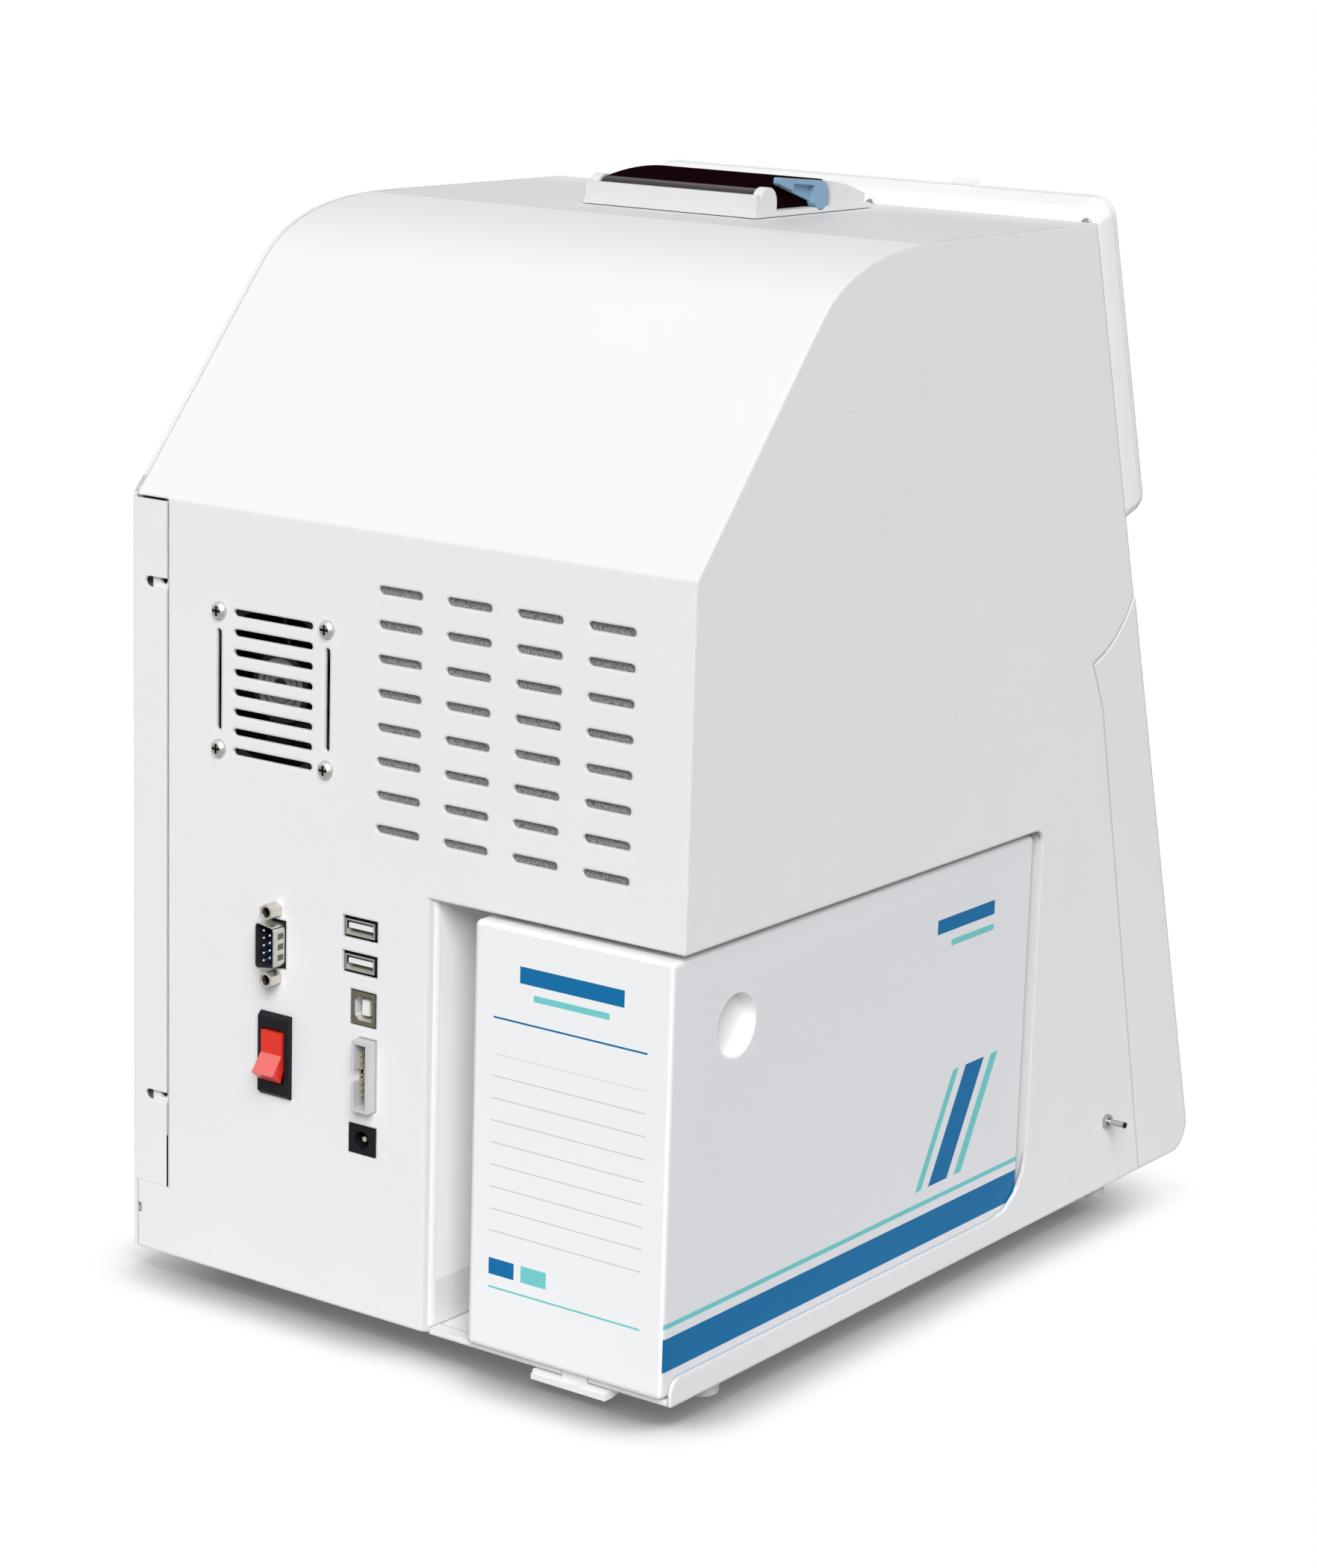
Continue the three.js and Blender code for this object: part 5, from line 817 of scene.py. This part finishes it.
pack_cloud = pack.noise(20, 3, 0.6)
pack_grain = pack.noise(620, 2)
pack_shade = pack.mix(pack_cloud * 0.5, pack_colour, tuple(c * 0.965 for c in pack_colour))
pack_shade = pack.mix(film, pack_shade, film_colour)
pack_shade = pack.mix(side_blue.either(rear_blue), pack_shade, blue)
pack_shade = pack.mix(side_teal.either(rear_teal), pack_shade, teal)
pack.set(base_color=pack_shade, roughness=0.42 + pack_cloud * 0.1 - film * 0.06)
pack.relief(pack_grain * 0.3 + film * 0.2, 0.02 * MM, 0.6 * MM)
pack.dress("reagent_pack")

# Moulded white parts
# The screen's shells are the brightest white, the printer's base a greyer one, and the pack latch and the
# pump and probe mounts lie between, with a smooth face.
moulding("screen_white", (0.89, 0.89, 0.885), rough=0.36, edge=0.5).dress("monitor_back", "monitor_bezel")
moulding("printer_white", (0.73, 0.732, 0.736), rough=0.36, edge=0.5).dress("printer_base")
moulding("white_plastic", (0.78, 0.78, 0.776), rough=0.46, grain_size=200, edge=0.12).dress(
    "pack_latch", "pump_body", "probe_mount"
)

# Screen screws
# Two steel screws hold the screen unit from behind. Their heads, 4.4 mm across, just show above the front
# edge of the top.
screw_radius = 2.2 * MM
screw_thick = 1.2 * MM
screw_edge = 0.4 * MM
screw_acrosses = (-19.3 * MM, -113.7 * MM)
screw_behind = 249.7 * MM
screw_tall = 391.4 * MM
screen_screws = bmesh.new()
for screw_x in screw_acrosses:
    place = Matrix.Translation((screw_x, rear_face - screw_behind, screw_tall))
    place = place @ Matrix.Rotation(math.pi / 2, 4, "X")
    head = bmesh.ops.create_cone(
        screen_screws,
        cap_ends=True,
        segments=24,
        radius1=screw_radius,
        radius2=screw_radius,
        depth=screw_thick,
        matrix=place,
    )["verts"]
    rims = [edge for edge in {e for v in head for e in v.link_edges} if len(edge.link_faces) == 2]
    rims = [edge for edge in rims if edge.calc_face_angle() > 1]
    bmesh.ops.bevel(
        screen_screws,
        geom=rims,
        offset=screw_edge,
        segments=2,
        profile=0.5,
        affect="EDGES",
        material=-1,
    )
screen_screw_steel = metal("screen_screw_steel", (0.4, 0.39, 0.37))
piece("screen_screws", screen_screws, screen_screw_steel, "root", smooth=True)

# Drain nipple
# A turned steel tube with a hexagon nut, low on the side behind the front cover.
steel = metal("turned_steel", (0.5, 0.497, 0.485), rough=0.24, brush=(1.0, 6.0, 6.0))
# The tube's open end is painted near black, as painted shade in its bore.
end_shade_long = 0.7 * MM
nipple_end_shade = steel.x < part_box("drain_nipple")[0][0] + end_shade_long
steel.set(base_color=steel.mix(nipple_end_shade, steel.tone, (0.05, 0.045, 0.04)))
steel.dress("drain_nipple", "nipple_nut", "sample_probe", "cover_hinge_left", "cover_hinge_right")

# Printer
# A panel printer: dark tinted lid in polished plastic, pale blue release lever, black platen and a roll of
# thermal paper below it.
barrel_behind = (5.3 * MM, 2.3 * MM)
lid = Finish("printer_lid_dark", specular_ior_level=0.0, coat_roughness=0.12)
lid_cloud = lid.noise(40, 3)
lid_marks = lid.fade(lid.noise(260, 3, 0.6, lid.stretched(1, 5, 1)), 0.62, 0.75)
lid_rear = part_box("printer_lid")[1][1]
barrel_gloss = lid.fade(lid.y, *[lid_rear - behind for behind in barrel_behind])
lid.set(
    base_color=lid.mix(lid_cloud, (0.0075, 0.0018, 0.0028), (0.011, 0.003, 0.0045)),
    roughness=0.16 + lid_cloud * 0.08 + lid_marks * 0.08,
    coat_weight=barrel_gloss,
)
lid.relief(lid_cloud, 0.03 * MM, 0.4 * MM)
lid.dress("printer_lid")

moulding("release_lever_blue", (0.215, 0.36, 0.51), rough=0.34, grain_size=400, specular=0.3, edge=0.4).dress(
    "release_lever"
)
rubber("platen_rubber", (0.02, 0.02, 0.021)).dress("platen_roller")

paper = Finish("thermal_paper", roughness=0.85, specular_ior_level=0.2)
turns = paper.noise(90, 2, 0.5, paper.stretched(0.2, 8, 8))
fibres = paper.noise(1400, 3)
paper.set(base_color=paper.mix(turns, (0.86, 0.85, 0.82), (0.8, 0.79, 0.76)))
paper.relief(fibres * 0.4 + turns * 0.6, 0.05 * MM)
paper.dress("paper_roll")

moulding("grey_plastic", (0.56, 0.57, 0.585), rough=0.45).dress(
    "print_head", "fluid_coupler", "electrode_carrier", "pump_rotor"
)

# Touch screen
# Dark glass over the display, with a printed black border, switched off.
glass = Finish("screen_glass", specular_ior_level=0.5, coat_weight=0.6, coat_roughness=0.03)
smears = glass.fade(glass.noise(24, 4, 0.6, glass.stretched(1, 0.4, 2)), 0.5, 0.75)
glass.set(base_color=glass.mix(smears * 0.3, (0.006, 0.007, 0.009), (0.016, 0.018, 0.02)))
glass.set(roughness=0.07 + smears * 0.09)
glass.dress("touch_glass")

# Boards and fluid cells
# Green boards with a weave and paler tracks, and clear acrylic cells with one amber reference electrode.
board = Finish("circuit_board")
io_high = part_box("io_board")[1]
# Behind the sockets the board's face is painted near black, as painted shade in the gaps round them.
board_skin = 0.3 * MM
shaded_behind_sockets = board.y.within(io_high[1] - board_skin, io_high[1] + board_skin)
tracks = board.node(
    "ShaderNodeTexBrick",
    {"offset": 0.3},
    {
        "Vector": board.place,
        "Color1": (0.012, 0.1, 0.04, 1),
        "Color2": (0.016, 0.12, 0.05, 1),
        "Mortar": (0.03, 0.2, 0.09, 1),
        "Scale": 160.0,
        "Mortar Size": 0.03,
    },
)
board_painted_shade = (0.004, 0.012, 0.007)
board.set(base_color=board.mix(shaded_behind_sockets, tracks, board_painted_shade))
board.set(roughness=0.36 + board.noise(300) * 0.14)
board.dress("io_board", "main_board")


def acrylic(name, colour):
    cell = Finish(name, specular_ior_level=0.5)
    haze = cell.noise(60, 3)
    cell.set(base_color=cell.mix(haze, colour, tuple(c * 0.88 for c in colour)), roughness=0.1 + haze * 0.08)
    cell.set(alpha=0.62 + haze * 0.1)
    return cell


acrylic("clear_acrylic", (0.72, 0.78, 0.79)).dress(
    "electrode_2", "electrode_3", "electrode_4", "electrode_5", "valve_block"
)
acrylic("amber_acrylic", (0.66, 0.5, 0.22)).dress("electrode_1")
